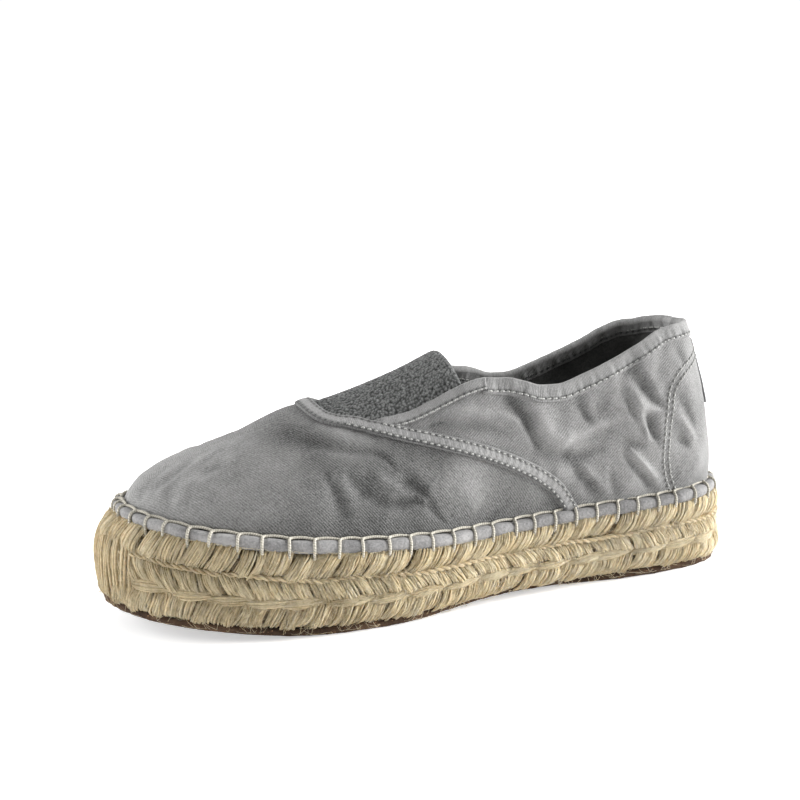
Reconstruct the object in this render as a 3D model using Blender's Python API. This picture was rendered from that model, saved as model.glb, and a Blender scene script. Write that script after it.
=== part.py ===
"""Left espadrille: a canvas slip-on with an elastic gore, on a braided jute platform.

+X points to the toe, +Y to the outer side of the foot and +Z up. The origin is on the floor under
the middle of the sole. Sizes below are millimetres and become metres where a mesh is made.
"""

import bmesh
import bpy
import numpy as np
from mathutils import Vector

MM = 0.001

# Driving dimensions.
LENGTH = 262.0
BALL_WIDTH = 94.6
INSTEP_HEIGHT = 95.6
HEEL_HEIGHT = 101.0
OUTSOLE = 3.0
WALL = 1.8
GAP = 0.3
BAND_HEIGHT = 6.0
INSOLE = 2.5
GORE = 2.0
GORE_TUCK = 6.0
LABEL = 1.0

RING_POINTS = 104
UPPER_ROWS = 12
HALF = RING_POINTS // 2

# Plan of the braid: fraction of the length from the heel, and half widths as fractions of the
# ball width, to the outer side and to the inner side.
OUTER_PLAN = (
    (0.02, 0.175), (0.06, 0.264), (0.14, 0.317), (0.28, 0.335), (0.42, 0.389),
    (0.55, 0.474), (0.64, 0.500), (0.74, 0.485), (0.84, 0.420), (0.92, 0.302), (0.97, 0.168),
)
INNER_PLAN = (
    (0.02, 0.196), (0.06, 0.294), (0.14, 0.352), (0.28, 0.350), (0.42, 0.346),
    (0.55, 0.425), (0.65, 0.500), (0.75, 0.498), (0.84, 0.452), (0.92, 0.372), (0.97, 0.272),
)
HEEL_POINT = (0.0, -0.012)
TOE_POINT = (1.0, -0.060)

# Heights along the length: x against z.
SOLE_BOTTOM = (
    (-131, 0.8), (-118, 0.0), (-62, 0.0), (-20, 1.2), (22, 0.0), (52, 0.0), (100, 4.4), (131, 9.0),
)
BRAID_TOP = (
    (-131, 29.6), (-100, 27.6), (-15, 26.0), (45, 29.6), (98, 37.0), (118, 41.2), (131, 43.6),
)
OUTSOLE_INSET = ((-131, 1.8), (-75, 2.0), (-45, 6.0), (0, 5.0), (30, 2.0), (131, 1.8))

# The upper's sections run from the braid's edge to a crown line. Fractions go from heel to toe.
UPPER_INSET = ((0.0, 4.4), (0.14, 4.8), (0.80, 5.3), (0.92, 8.6), (1.0, 11.8))
CROWN_X = (
    (0.0, -109), (0.06, -106), (0.14, -93), (0.30, -56), (0.50, 2), (0.70, 54), (0.85, 85),
    (0.94, 96), (1.0, 101),
)
CROWN_Y = ((-109, -1.2), (0, -1.6), (46, -3.2), (101, -6.0))
CROWN_Z = (
    (-109, HEEL_HEIGHT + 18), (-80, 114), (-56, 109), (-20, 100), (-6, INSTEP_HEIGHT),
    (6, 90.8), (17, 87.0), (31, 82.7), (45, 79.3), (56, 76.2), (73, 69.3), (85, 65.0), (101, 60.0),
    (110, 57.0),
)
# Where the side wall stands, as fractions of the section's height and width.
BELLY_HEIGHT = (
    (0.0, 0.33), (0.10, 0.34), (0.20, 0.45), (0.40, 0.50), (0.60, 0.50), (0.75, 0.60), (1.0, 0.62),
)
BELLY_OUT = ((0.0, 4.8), (0.12, 4.8), (0.30, 2.8), (0.50, 1.5), (0.70, 1.0), (1.0, 0.6))
SHOULDER = (
    (0.0, 0.30), (0.06, 0.70), (0.14, 1.12), (0.32, 1.06), (0.43, 0.84), (0.56, 0.38),
    (0.66, 0.42), (0.80, 0.52), (1.0, 0.46),
)
SHOULDER_DROP = ((0.0, 18.0), (0.14, 6.0), (0.30, 0.0), (1.0, 0.0))

# The opening: collar height along the foot, then a throat that tapers to a round front.
COLLAR_HEIGHT = (
    (-124, HEEL_HEIGHT - 0.5), (-110, HEEL_HEIGHT), (-99, HEEL_HEIGHT - 1), (-85, 94.5),
    (-73, 89.5), (-60, 85.0), (-48, 82.0), (-41, 82.3), (-34, 84.5), (-27, 86.2), (-18, 86.5),
)
INNER_COLLAR_DROP = ((-124, 0.0), (-100, 1.8), (-40, 2.4), (-18, 0.6))
CORNER_X = -18.0
THROAT_FRONT_X = 47.5
THROAT_ROUND = 17.0
OUTER_THROAT_HALF = 22.0
INNER_THROAT_HALF = 20.0

# The gore's free edge is at this fraction on the crown line and bows back towards its sides.
GORE_FREE_EDGE = 0.462
GORE_EDGE_BOW = 0.018
GORE_FRONT = 0.675
GORE_GAP = 0.5
GORE_FRONT_DIP = 1.0
GORE_COLUMNS = 14
GORE_ROWS = 11

LABEL_LOW = 66.0
LABEL_HIGH = 93.0
LABEL_REACH = 2.6
LABEL_GAP = 0.45

BRAID_ROWS = 3

# A point well inside the shoe, which tells an open sheet's two sides apart.
INSIDE = Vector((0.0, 0.0, 0.045))


def smooth(table, at):
    """A smooth curve through (station, value) rows that doesn't overshoot between them."""
    stations, values = np.array(table, float).T
    at = np.clip(at, stations[0], stations[-1])
    step = np.diff(stations)
    slope = np.diff(values) / step
    product = slope[:-1] * slope[1:]
    total = np.where(product > 0, slope[:-1] + slope[1:], 1)
    inside = np.where(product > 0, 2 * product / total, 0)
    tangent = np.concatenate(([slope[0]], inside, [slope[-1]]))
    span = np.clip(np.searchsorted(stations, at, side="right") - 1, 0, len(step) - 1)
    u = (at - stations[span]) / step[span]
    rise = u * u * (3 - 2 * u)
    return (
        values[span] * (1 - rise)
        + values[span + 1] * rise
        + step[span] * (tangent[span] * u * (1 - u) ** 2 - tangent[span + 1] * u * u * (1 - u))
    )


def closed_curve(points, per_span=24):
    """Points along the centripetal Catmull-Rom curve through a closed list of points."""
    here = np.array(points, float)
    before, after, beyond = (np.roll(here, shift, axis=0) for shift in (1, -1, -2))
    pairs = ((before, here), (here, after), (after, beyond))
    first, middle, last = (np.sqrt(np.linalg.norm(b - a, axis=1))[:, None] for a, b in pairs)
    leave = (here - before) / first - (after - before) / (first + middle) + (after - here) / middle
    arrive = (after - here) / middle - (beyond - here) / (middle + last) + (beyond - after) / last
    curve = []
    for u in np.arange(per_span) / per_span:
        rise = u * u * (3 - 2 * u)
        tangents = leave * u * (1 - u) ** 2 - arrive * u * u * (1 - u)
        curve.append(here * (1 - rise) + after * rise + middle * tangents)
    return np.array(curve).transpose(1, 0, 2).reshape(-1, here.shape[1])


def spread(curve, count):
    """The curve resampled at equal distances, ends included."""
    along = np.concatenate(([0], np.cumsum(np.linalg.norm(np.diff(curve, axis=0), axis=1))))
    at = np.linspace(0, along[-1], count)
    return np.column_stack([np.interp(at, along, axis) for axis in curve.T])


def plan_ring():
    """The braid's outline: heel, outer side, toe, inner side. Points i and -i face each other."""
    outer = [(t, side) for t, side in OUTER_PLAN]
    inner = [(t, -side) for t, side in reversed(INNER_PLAN)]
    points = [HEEL_POINT, *outer, TOE_POINT, *inner]
    scaled = [((t - 0.5) * LENGTH, y * BALL_WIDTH) for t, y in points]
    per_span = 24
    curve = closed_curve(scaled, per_span)
    toe = (len(outer) + 1) * per_span
    outer_half = spread(curve[: toe + 1], HALF + 1)
    inner_half = spread(np.vstack((curve[toe:], curve[:1])), HALF + 1)
    ring = np.vstack((outer_half, inner_half[1:-1]))
    return ring - (ring.max(axis=0) + ring.min(axis=0)) / 2


def inset(ring, distance):
    """The ring moved inwards, square to itself."""
    along = np.roll(ring, -1, axis=0) - np.roll(ring, 1, axis=0)
    inward = np.column_stack((along[:, 1], -along[:, 0])) / np.linalg.norm(along, axis=1)[:, None]
    return ring + inward * np.broadcast_to(distance, len(ring))[:, None]


RING = plan_ring()
FRACTION = np.abs(np.concatenate((np.arange(HALF + 1), np.arange(HALF - 1, 0, -1)))) / HALF


def at_height(plan, height):
    return np.column_stack((plan, height))


def mesh_object(name, vertices, faces, colour, roughness):
    """An object of one closed mesh, in metres, with its faces pointing out and its own material."""
    mesh = bpy.data.meshes.new(name)
    mesh.from_pydata([tuple(point) for point in np.array(vertices) * MM], [], faces)
    work = bmesh.new()
    work.from_mesh(mesh)
    bmesh.ops.remove_doubles(work, verts=work.verts, dist=1e-6)
    bmesh.ops.recalc_face_normals(work, faces=work.faces)
    work.to_mesh(mesh)
    work.free()
    mesh.shade_smooth()
    mesh.set_sharp_from_angle(angle=np.radians(50))
    material = bpy.data.materials.new(name)
    material.use_nodes = True
    shader = material.node_tree.nodes["Principled BSDF"]
    shader.inputs["Base Color"].default_value = (*colour, 1.0)
    shader.inputs["Roughness"].default_value = roughness
    mesh.materials.append(material)
    obj = bpy.data.objects.new(name, mesh)
    bpy.context.scene.collection.objects.link(obj)
    return obj


def side_faces(rings, count, wrap):
    """Quads between rings of the same number of points."""
    faces = []
    for ring in range(rings if wrap else rings - 1):
        low, high = ring * count, (ring + 1) % rings * count
        for i in range(count):
            j = (i + 1) % count
            faces.append((low + i, low + j, high + j, high + i))
    return faces


def cap_faces(first):
    """Strips straight across the shoe, which close a ring whose height follows the length."""
    across = [(first + 1, first, first + RING_POINTS - 1)]
    for i in range(1, HALF - 1):
        facing = first + RING_POINTS - i
        across.append((first + i, first + i + 1, facing - 1, facing))
    across.append((first + HALF - 1, first + HALF, first + HALF + 1))
    return across


def slab(name, rings, colour, roughness):
    """A solid between a lowest and a highest ring, closed across the shoe at both."""
    faces = side_faces(len(rings), RING_POINTS, wrap=False)
    faces += cap_faces(0) + cap_faces((len(rings) - 1) * RING_POINTS)
    return mesh_object(name, np.vstack(rings), faces, colour, roughness)


def make_outsole():
    edge = smooth(OUTSOLE_INSET, RING[:, 0])
    rings = []
    for rise, pull in ((0.0, 0.8), (0.8, 0.0), (OUTSOLE - 0.6, 0.0), (OUTSOLE, 0.4)):
        plan = inset(RING, edge + pull)
        rings.append(at_height(plan, smooth(SOLE_BOTTOM, plan[:, 0]) + rise))
    return slab("outsole", rings, (0.14, 0.075, 0.045), 0.9)


def make_braid():
    """Three rows high, each bulging between its grooves. At the toe the top row leans in."""
    profile = [(0.0, 2.0)]
    for row in range(BRAID_ROWS):
        for share, pull in ((0.22, 0.4), (0.5, 0.0), (0.78, 0.4), (1.0, 1.7)):
            profile.append(((row + share) / BRAID_ROWS, pull))
    profile[-1] = (1.0, 2.6)
    lean = np.clip(smooth(UPPER_INSET, FRACTION) - UPPER_INSET[0][1], 0, None)
    rings = []
    for share, pull in profile:
        plan = inset(RING, pull + lean * share**4 * 0.8)
        bottom = smooth(SOLE_BOTTOM, plan[:, 0]) + OUTSOLE + GAP
        top = smooth(BRAID_TOP, plan[:, 0])
        rings.append(at_height(plan, bottom + (top - bottom) * share))
    return slab("jute_sole", rings, (0.58, 0.47, 0.30), 0.95)


def make_insole():
    rings = []
    for rise, pull in ((GAP, 2.7), (GAP + INSOLE - 0.7, 2.7), (GAP + INSOLE, 3.4)):
        plan = inset(RING, smooth(UPPER_INSET, FRACTION) + pull)
        rings.append(at_height(plan, smooth(BRAID_TOP, plan[:, 0]) + rise))
    return slab("insole", rings, (0.45, 0.42, 0.38), 0.9)


def make_band():
    """The fabric roll between upper and braid: a closed loop of round-sided sections."""
    top = BAND_HEIGHT
    section = (
        (1.0, 0.0), (2.2, 0.0), (3.4, 1.6), (3.6, 3.4), (2.9, top - 0.6), (1.7, top), (1.2, 3.0),
    )
    edge = smooth(UPPER_INSET, FRACTION)
    rings = []
    for out, rise in section:
        plan = inset(RING, edge - out)
        rings.append(at_height(plan, smooth(BRAID_TOP, plan[:, 0]) + GAP + rise))
    faces = side_faces(len(section), RING_POINTS, wrap=True)
    return mesh_object("foxing_band", np.vstack(rings), faces, (0.33, 0.33, 0.36), 0.85)


def base_point(fraction, side):
    """Foot of the upper's section at a fraction from heel (0) to toe (1), on side +1 or -1."""
    foot = inset(RING, smooth(UPPER_INSET, FRACTION))
    outer = foot[: HALF + 1]
    inner = np.vstack((foot[:1], foot[:HALF - 1:-1]))
    at = fraction * HALF
    index = np.arange(HALF + 1)
    plan = []
    for axis in (0, 1):
        on_outer = np.interp(at, index, outer[:, axis])
        on_inner = np.interp(at, index, inner[:, axis])
        plan.append(np.where(side > 0, on_outer, on_inner))
    return np.stack((*plan, smooth(BRAID_TOP, plan[0]) + GAP), axis=-1)


def upper_point(fraction, side, share):
    """Outer surface of the last: share 0 at the braid's edge, 1 on the crown line."""
    base = base_point(fraction, side)
    crown_x = smooth(CROWN_X, fraction)
    crown = np.stack((crown_x, smooth(CROWN_Y, crown_x), smooth(CROWN_Z, crown_x)), axis=-1)
    reach = base - crown
    reach[..., 2] = 0
    width = np.linalg.norm(reach, axis=-1, keepdims=True)
    belly = base + reach / width * smooth(BELLY_OUT, fraction)[..., None]
    belly[..., 2] += (crown - base)[..., 2] * smooth(BELLY_HEIGHT, fraction)
    shoulder = crown + reach * smooth(SHOULDER, fraction)[..., None]
    ridge_slope = (smooth(CROWN_Z, crown_x + 1) - smooth(CROWN_Z, crown_x - 1)) / 2
    shoulder[..., 2] += ridge_slope * (shoulder - crown)[..., 0] - smooth(SHOULDER_DROP, fraction)
    t = np.asarray(share)[..., None]
    u = 1 - t
    return base * u**3 + 3 * belly * t * u**2 + 3 * shoulder * t**2 * u + crown * t**3


def rim_height(x, side):
    return smooth(COLLAR_HEIGHT, x) - np.where(side < 0, smooth(INNER_COLLAR_DROP, x), 0)


def corner_half(side):
    """How far from the crown line the collar's front corner lies, where the throat starts."""
    fraction, share = np.meshgrid(np.linspace(0.3, 0.6, 241), np.linspace(0.4, 0.9, 241))
    points = upper_point(fraction.ravel(), np.full(fraction.size, side), share.ravel())
    off = np.hypot(points[:, 0] - CORNER_X, points[:, 2] - rim_height(CORNER_X, side))
    nearest = points[np.argmin(off)]
    return abs(nearest[1] - smooth(CROWN_Y, nearest[0]))


CORNER_HALF = {side: corner_half(side) for side in (1, -1)}


def throat_half(x, side, grow=0.0):
    """Half the throat's width at x; grow widens it all round, as the gore's tuck does."""
    start = THROAT_FRONT_X - THROAT_ROUND
    at_corner = np.where(side > 0, CORNER_HALF[1], CORNER_HALF[-1])
    at_front = np.where(side > 0, OUTER_THROAT_HALF, INNER_THROAT_HALF)
    taper = (at_corner - at_front) / (start - CORNER_X)
    half = at_front + grow + taper * np.clip(start - x, 0, None)
    round_off = np.clip((x - start) / (THROAT_ROUND + grow), 0, 1)
    return half * np.sqrt(1 - round_off**2)


def opening(points, side, grow=0.0):
    """Above zero inside the collar or the throat."""
    x, y, z = np.moveaxis(points, -1, 0)
    throat = throat_half(x, side, grow) - np.abs(y - smooth(CROWN_Y, x))
    ahead = np.where(x < THROAT_FRONT_X + grow, throat, -1.0)
    return np.where(x < CORNER_X, z - rim_height(x, side), ahead)


def edge_share(fraction, side, grow=0.0):
    """Share at which each section meets the opening's edge, or 1 where it runs to the crown."""
    steps = np.linspace(0.3, 1, 281)
    points = upper_point(fraction[:, None], side[:, None], steps[None, :])
    inside = opening(points, side[:, None], grow)
    first = np.argmax(inside > 0, axis=1)
    met = inside.max(axis=1) > 0
    rows = np.arange(len(fraction))
    low, high = inside[rows, first - 1], inside[rows, first]
    meet = steps[first - 1] + (steps[1] - steps[0]) * low / (low - high + 1e-12)
    return np.where(met, meet, 1.0)


def thicken(sheet, thickness):
    """Gives a sheet, whose faces point out of the shoe, a wall on its inner side."""
    wall = sheet.modifiers.new("wall", "SOLIDIFY")
    wall.thickness = thickness * MM
    wall.offset = -1.0
    wall.use_even_offset = True
    wall.use_quality_normals = True


def sheet_object(name, points, faces, out_by, colour, roughness):
    """An open sheet, its faces pointing away from the foot, moved out along its normals.

    out_by is one distance, or one for each point.
    """
    sheet = mesh_object(name, points, faces, colour, roughness)
    work = bmesh.new()
    work.from_mesh(sheet.data)
    away = sum((face.calc_center_median() - INSIDE).dot(face.normal) for face in work.faces)
    if away < 0:
        bmesh.ops.reverse_faces(work, faces=work.faces)
    work.normal_update()
    distances = np.broadcast_to(out_by, len(work.verts)) * MM
    moved = [vertex.co + vertex.normal * by for vertex, by in zip(work.verts, distances)]
    for vertex, place in zip(work.verts, moved):
        vertex.co = place
    work.to_mesh(sheet.data)
    work.free()
    return sheet


def make_upper():
    side = np.where(np.arange(RING_POINTS) <= HALF, 1, -1)
    top = edge_share(FRACTION, side)
    rise = 1 - (1 - np.arange(UPPER_ROWS + 1) / UPPER_ROWS) ** 1.25
    rows = [upper_point(FRACTION, side, top * share) for share in rise]
    faces = side_faces(UPPER_ROWS + 1, RING_POINTS, wrap=False)
    upper = sheet_object("upper", np.vstack(rows), faces, 0.0, (0.30, 0.30, 0.31), 0.85)
    thicken(upper, WALL)


def grid_faces(rows, columns):
    faces = []
    for row in range(rows - 1):
        for column in range(columns - 1):
            corner = row * columns + column
            faces.append((corner, corner + 1, corner + columns + 1, corner + columns))
    return faces


def make_gore():
    """Elastic under the throat, tucked in beneath its edges, with a free edge at the back."""
    across = np.linspace(-1, 1, GORE_COLUMNS + 1)
    side = np.where(across >= 0, 1, -1)
    along = np.linspace(0, 1, GORE_ROWS)
    rows = []
    for share in along:
        bow = GORE_EDGE_BOW * (1 - share) * across**2
        fraction = GORE_FREE_EDGE + (GORE_FRONT - GORE_FREE_EDGE) * share - bow
        low = edge_share(fraction, side, GORE_TUCK)
        rows.append(upper_point(fraction, side, 1 - (1 - low) * np.abs(across)))
    depth = WALL + GORE_GAP + GORE_FRONT_DIP * np.repeat(along, len(across)) ** 3
    faces = grid_faces(GORE_ROWS, len(across))
    gore = sheet_object("elastic_gore", np.vstack(rows), faces, -depth, (0.09, 0.09, 0.095), 0.95)
    thicken(gore, GORE)


def share_at_height(fraction, side, height):
    steps = np.linspace(0, 1, 401)
    rise = upper_point(np.full(401, fraction), np.full(401, side), steps)[:, 2]
    return np.interp(height, rise, steps)


def make_label():
    """A plain patch over the back of the heel, standing proud of the counter."""
    reach = np.array([-LABEL_REACH, -2, -1, 0, 1, 2, LABEL_REACH]) / HALF
    rows = []
    for height in np.linspace(LABEL_LOW, LABEL_HIGH, 6):
        for place in reach:
            side = 1 if place >= 0 else -1
            share = share_at_height(abs(place), side, height)
            rows.append(upper_point(np.array([abs(place)]), np.array([side]), np.array([share]))[0])
    faces = grid_faces(6, len(reach))
    label = sheet_object("heel_label", rows, faces, LABEL_GAP + LABEL, (0.36, 0.36, 0.37), 0.8)
    thicken(label, LABEL)


def main():
    for obj in list(bpy.data.objects):
        bpy.data.objects.remove(obj)
    make_outsole()
    make_braid()
    make_insole()
    make_band()
    make_upper()
    make_gore()
    make_label()


main()
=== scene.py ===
"""Looks of the left espadrille: washed canvas, elastic gore, soft foxing and a braided jute sole.

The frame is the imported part: +X to the toe, +Y to the outer side, +Z up. Shapes are worked out in
millimetres on the same last as the part's upper, and become metres where a mesh is made.
"""

import bmesh
import bpy
import numpy as np
from mathutils import Matrix


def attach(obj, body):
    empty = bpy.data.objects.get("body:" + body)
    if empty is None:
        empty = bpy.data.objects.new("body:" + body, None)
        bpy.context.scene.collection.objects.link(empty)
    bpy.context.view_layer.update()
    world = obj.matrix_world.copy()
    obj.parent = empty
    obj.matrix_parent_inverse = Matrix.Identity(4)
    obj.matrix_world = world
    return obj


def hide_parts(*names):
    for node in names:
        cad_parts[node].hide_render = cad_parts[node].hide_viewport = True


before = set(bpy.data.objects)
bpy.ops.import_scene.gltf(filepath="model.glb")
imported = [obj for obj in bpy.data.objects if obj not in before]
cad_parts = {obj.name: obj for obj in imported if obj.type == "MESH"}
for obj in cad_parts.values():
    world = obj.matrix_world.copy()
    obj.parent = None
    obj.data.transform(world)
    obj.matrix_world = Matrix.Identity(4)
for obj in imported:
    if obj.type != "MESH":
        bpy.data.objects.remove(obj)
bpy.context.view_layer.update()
random = np.random.default_rng(7)

# ---------------------------------------------------------------- the last, as in the part's source

MM = 0.001
LENGTH = 262.0
BALL_WIDTH = 94.6
HEEL_HEIGHT = 101.0
OUTSOLE = 3.0
WALL = 1.8
GAP = 0.3
RING_POINTS = 1040
HALF = RING_POINTS // 2

OUTER_PLAN = (
    (0.02, 0.175), (0.06, 0.264), (0.14, 0.317), (0.28, 0.335), (0.42, 0.389),
    (0.55, 0.474), (0.64, 0.500), (0.74, 0.485), (0.84, 0.420), (0.92, 0.302), (0.97, 0.168),
)
INNER_PLAN = (
    (0.02, 0.196), (0.06, 0.294), (0.14, 0.352), (0.28, 0.350), (0.42, 0.346),
    (0.55, 0.425), (0.65, 0.500), (0.75, 0.498), (0.84, 0.452), (0.92, 0.372), (0.97, 0.272),
)
HEEL_POINT = (0.0, -0.012)
TOE_POINT = (1.0, -0.060)
SOLE_BOTTOM = (
    (-131, 0.8), (-118, 0.0), (-62, 0.0), (-20, 1.2), (22, 0.0), (52, 0.0), (100, 4.4), (131, 9.0),
)
BRAID_TOP = (
    (-131, 29.6), (-100, 27.6), (-15, 26.0), (45, 29.6), (98, 37.0), (118, 41.2), (131, 43.6),
)
OUTSOLE_INSET = ((-131, 1.8), (-75, 2.0), (-45, 6.0), (0, 5.0), (30, 2.0), (131, 1.8))
UPPER_INSET = ((0.0, 4.4), (0.14, 4.8), (0.80, 5.3), (0.92, 8.6), (1.0, 11.8))
CROWN_X = (
    (0.0, -109), (0.06, -106), (0.14, -93), (0.30, -56), (0.50, 2), (0.70, 54), (0.85, 85),
    (0.94, 96), (1.0, 101),
)
CROWN_Y = ((-109, -1.2), (0, -1.6), (46, -3.2), (101, -6.0))
CROWN_Z = (
    (-109, 119), (-80, 114), (-56, 109), (-20, 100), (-6, 95.6), (6, 90.8), (17, 87.0),
    (31, 82.7), (45, 79.3), (56, 76.2), (73, 69.3), (85, 65.0), (101, 60.0), (110, 57.0),
)
BELLY_HEIGHT = (
    (0.0, 0.33), (0.10, 0.34), (0.20, 0.45), (0.40, 0.50), (0.60, 0.50), (0.75, 0.60), (1.0, 0.62),
)
BELLY_OUT = ((0.0, 4.8), (0.12, 4.8), (0.30, 2.8), (0.50, 1.5), (0.70, 1.0), (1.0, 0.6))
SHOULDER = (
    (0.0, 0.30), (0.06, 0.70), (0.14, 1.12), (0.32, 1.06), (0.43, 0.84), (0.56, 0.38),
    (0.66, 0.42), (0.80, 0.52), (1.0, 0.46),
)
SHOULDER_DROP = ((0.0, 18.0), (0.14, 6.0), (0.30, 0.0), (1.0, 0.0))
COLLAR_HEIGHT = (
    (-124, HEEL_HEIGHT - 0.5), (-110, HEEL_HEIGHT), (-99, HEEL_HEIGHT - 1), (-85, 94.5),
    (-73, 89.5), (-60, 85.0), (-48, 82.0), (-41, 82.3), (-34, 84.5), (-27, 86.2), (-18, 86.5),
)
INNER_COLLAR_DROP = ((-124, 0.0), (-117, 0.1), (-104, 1.6), (-40, 2.4), (-18, 0.6))
CORNER_X = -18.0
THROAT_FRONT_X = 47.5
THROAT_ROUND = 17.0
OUTER_THROAT_HALF = 22.0
INNER_THROAT_HALF = 20.0
GORE_FREE_EDGE = 0.462
GORE_EDGE_BOW = 0.018
GORE_FRONT = 0.675
CENTRE = np.array((0.0, 0.0, 45.0))


def smooth(table, at):
    """A smooth curve through (station, value) rows that doesn't overshoot between them."""
    stations, values = np.array(table, float).T
    at = np.clip(at, stations[0], stations[-1])
    step = np.diff(stations)
    slope = np.diff(values) / step
    product = slope[:-1] * slope[1:]
    total = np.where(product > 0, slope[:-1] + slope[1:], 1)
    inside = np.where(product > 0, 2 * product / total, 0)
    tangent = np.concatenate(([slope[0]], inside, [slope[-1]]))
    span = np.clip(np.searchsorted(stations, at, side="right") - 1, 0, len(step) - 1)
    u = (at - stations[span]) / step[span]
    rise = u * u * (3 - 2 * u)
    return (
        values[span] * (1 - rise)
        + values[span + 1] * rise
        + step[span] * (tangent[span] * u * (1 - u) ** 2 - tangent[span + 1] * u * u * (1 - u))
    )


def closed_curve(points, per_span):
    """Points along the centripetal Catmull-Rom curve through a closed list of points."""
    here = np.array(points, float)
    before, after, beyond = (np.roll(here, shift, axis=0) for shift in (1, -1, -2))
    pairs = ((before, here), (here, after), (after, beyond))
    first, middle, last = (np.sqrt(np.linalg.norm(b - a, axis=1))[:, None] for a, b in pairs)
    leave = (here - before) / first - (after - before) / (first + middle) + (after - here) / middle
    arrive = (after - here) / middle - (beyond - here) / (middle + last) + (beyond - after) / last
    curve = []
    for u in np.arange(per_span) / per_span:
        rise = u * u * (3 - 2 * u)
        tangents = leave * u * (1 - u) ** 2 - arrive * u * u * (1 - u)
        curve.append(here * (1 - rise) + after * rise + middle * tangents)
    return np.array(curve).transpose(1, 0, 2).reshape(-1, here.shape[1])


def distances(curve):
    """How far each point lies along the curve from its start."""
    steps = np.linalg.norm(np.diff(curve, axis=0), axis=1)
    return np.concatenate(([0], np.cumsum(steps)))


def spread(curve, count):
    """The curve resampled at equal distances, ends included."""
    along = distances(curve)
    at = np.linspace(0, along[-1], count)
    return np.column_stack([np.interp(at, along, axis) for axis in curve.T])


def plan_ring():
    """The braid's outline: heel, outer side, toe, inner side."""
    outer = [(t, side) for t, side in OUTER_PLAN]
    inner = [(t, -side) for t, side in reversed(INNER_PLAN)]
    points = [HEEL_POINT, *outer, TOE_POINT, *inner]
    scaled = [((t - 0.5) * LENGTH, y * BALL_WIDTH) for t, y in points]
    per_span = 48
    curve = closed_curve(scaled, per_span)
    toe = (len(outer) + 1) * per_span
    outer_half = spread(curve[: toe + 1], HALF + 1)
    inner_half = spread(np.vstack((curve[toe:], curve[:1])), HALF + 1)
    ring = np.vstack((outer_half, inner_half[1:-1]))
    return ring - (ring.max(axis=0) + ring.min(axis=0)) / 2


def ring_outward(ring):
    """Level unit directions that point away from the shoe at the ring's points."""
    reach = 3
    along = np.roll(ring, -reach, axis=0) - np.roll(ring, reach, axis=0)
    outward = np.column_stack((-along[:, 1], along[:, 0]))
    return outward / np.linalg.norm(outward, axis=1)[:, None]


RING = plan_ring()
OUTWARD = ring_outward(RING)
FRACTION = np.abs(np.concatenate((np.arange(HALF + 1), np.arange(HALF - 1, 0, -1)))) / HALF
OUTER_LENGTH = distances(RING[: HALF + 1])[-1]
INNER_LENGTH = distances(np.vstack((RING[HALF:], RING[:1])))[-1]
RING_LENGTH = OUTER_LENGTH + INNER_LENGTH
FOOT = RING - OUTWARD * smooth(UPPER_INSET, FRACTION)[:, None]


def round_the_ring(values, station):
    """Values held at the ring's points, read at stations from 0 at the heel by 1 at the toe to 2."""
    at = np.mod(station, 2) * HALF
    index = np.arange(RING_POINTS + 1)
    closed = np.concatenate((values, values[:1]))
    return np.stack([np.interp(at, index, axis) for axis in closed.T], axis=-1)


def station_at(distance):
    """Station of a point this far round the ring from the heel, by way of the outer side."""
    distance = np.mod(distance, RING_LENGTH)
    on_outer = distance / OUTER_LENGTH
    return np.where(on_outer <= 1, on_outer, 1 + (distance - OUTER_LENGTH) / INNER_LENGTH)


def round_distances(count):
    """Distances of this many even places round the ring."""
    return np.arange(count) / count * RING_LENGTH


def fraction_and_side(station):
    """Fraction of the foot from heel 0 to toe 1, and side: 1 outer, -1 inner."""
    station = np.mod(station, 2)
    return np.where(station <= 1, station, 2 - station), np.where(station <= 1, 1, -1)


def upper_point(fraction, side, share):
    """Outer surface of the last: share 0 at the braid's edge, 1 on the crown line."""
    plan = round_the_ring(FOOT, np.where(side > 0, fraction, 2 - fraction))
    base = np.concatenate((plan, (smooth(BRAID_TOP, plan[..., 0]) + GAP)[..., None]), axis=-1)
    crown_x = smooth(CROWN_X, fraction)
    crown = np.stack((crown_x, smooth(CROWN_Y, crown_x), smooth(CROWN_Z, crown_x)), axis=-1)
    reach = base - crown
    reach[..., 2] = 0
    width = np.linalg.norm(reach, axis=-1, keepdims=True)
    belly = base + reach / width * smooth(BELLY_OUT, fraction)[..., None]
    belly[..., 2] += (crown - base)[..., 2] * smooth(BELLY_HEIGHT, fraction)
    shoulder = crown + reach * smooth(SHOULDER, fraction)[..., None]
    ridge_slope = (smooth(CROWN_Z, crown_x + 1) - smooth(CROWN_Z, crown_x - 1)) / 2
    shoulder[..., 2] += ridge_slope * (shoulder - crown)[..., 0] - smooth(SHOULDER_DROP, fraction)
    t = np.asarray(share)[..., None]
    u = 1 - t
    return base * u**3 + 3 * belly * t * u**2 + 3 * shoulder * t**2 * u + crown * t**3


def rim_height(x, side):
    """Height of the collar's edge."""
    return smooth(COLLAR_HEIGHT, x) - np.where(side < 0, smooth(INNER_COLLAR_DROP, x), 0)


def corner_half(side):
    """How far from the crown line the collar's front corner lies, where the throat starts."""
    fraction, share = np.meshgrid(np.linspace(0.3, 0.6, 241), np.linspace(0.4, 0.9, 241))
    points = upper_point(fraction.ravel(), np.full(fraction.size, side), share.ravel())
    off = np.hypot(points[:, 0] - CORNER_X, points[:, 2] - rim_height(CORNER_X, side))
    nearest = points[np.argmin(off)]
    return abs(nearest[1] - smooth(CROWN_Y, nearest[0]))


CORNER_HALF = {side: corner_half(side) for side in (1, -1)}


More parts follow.
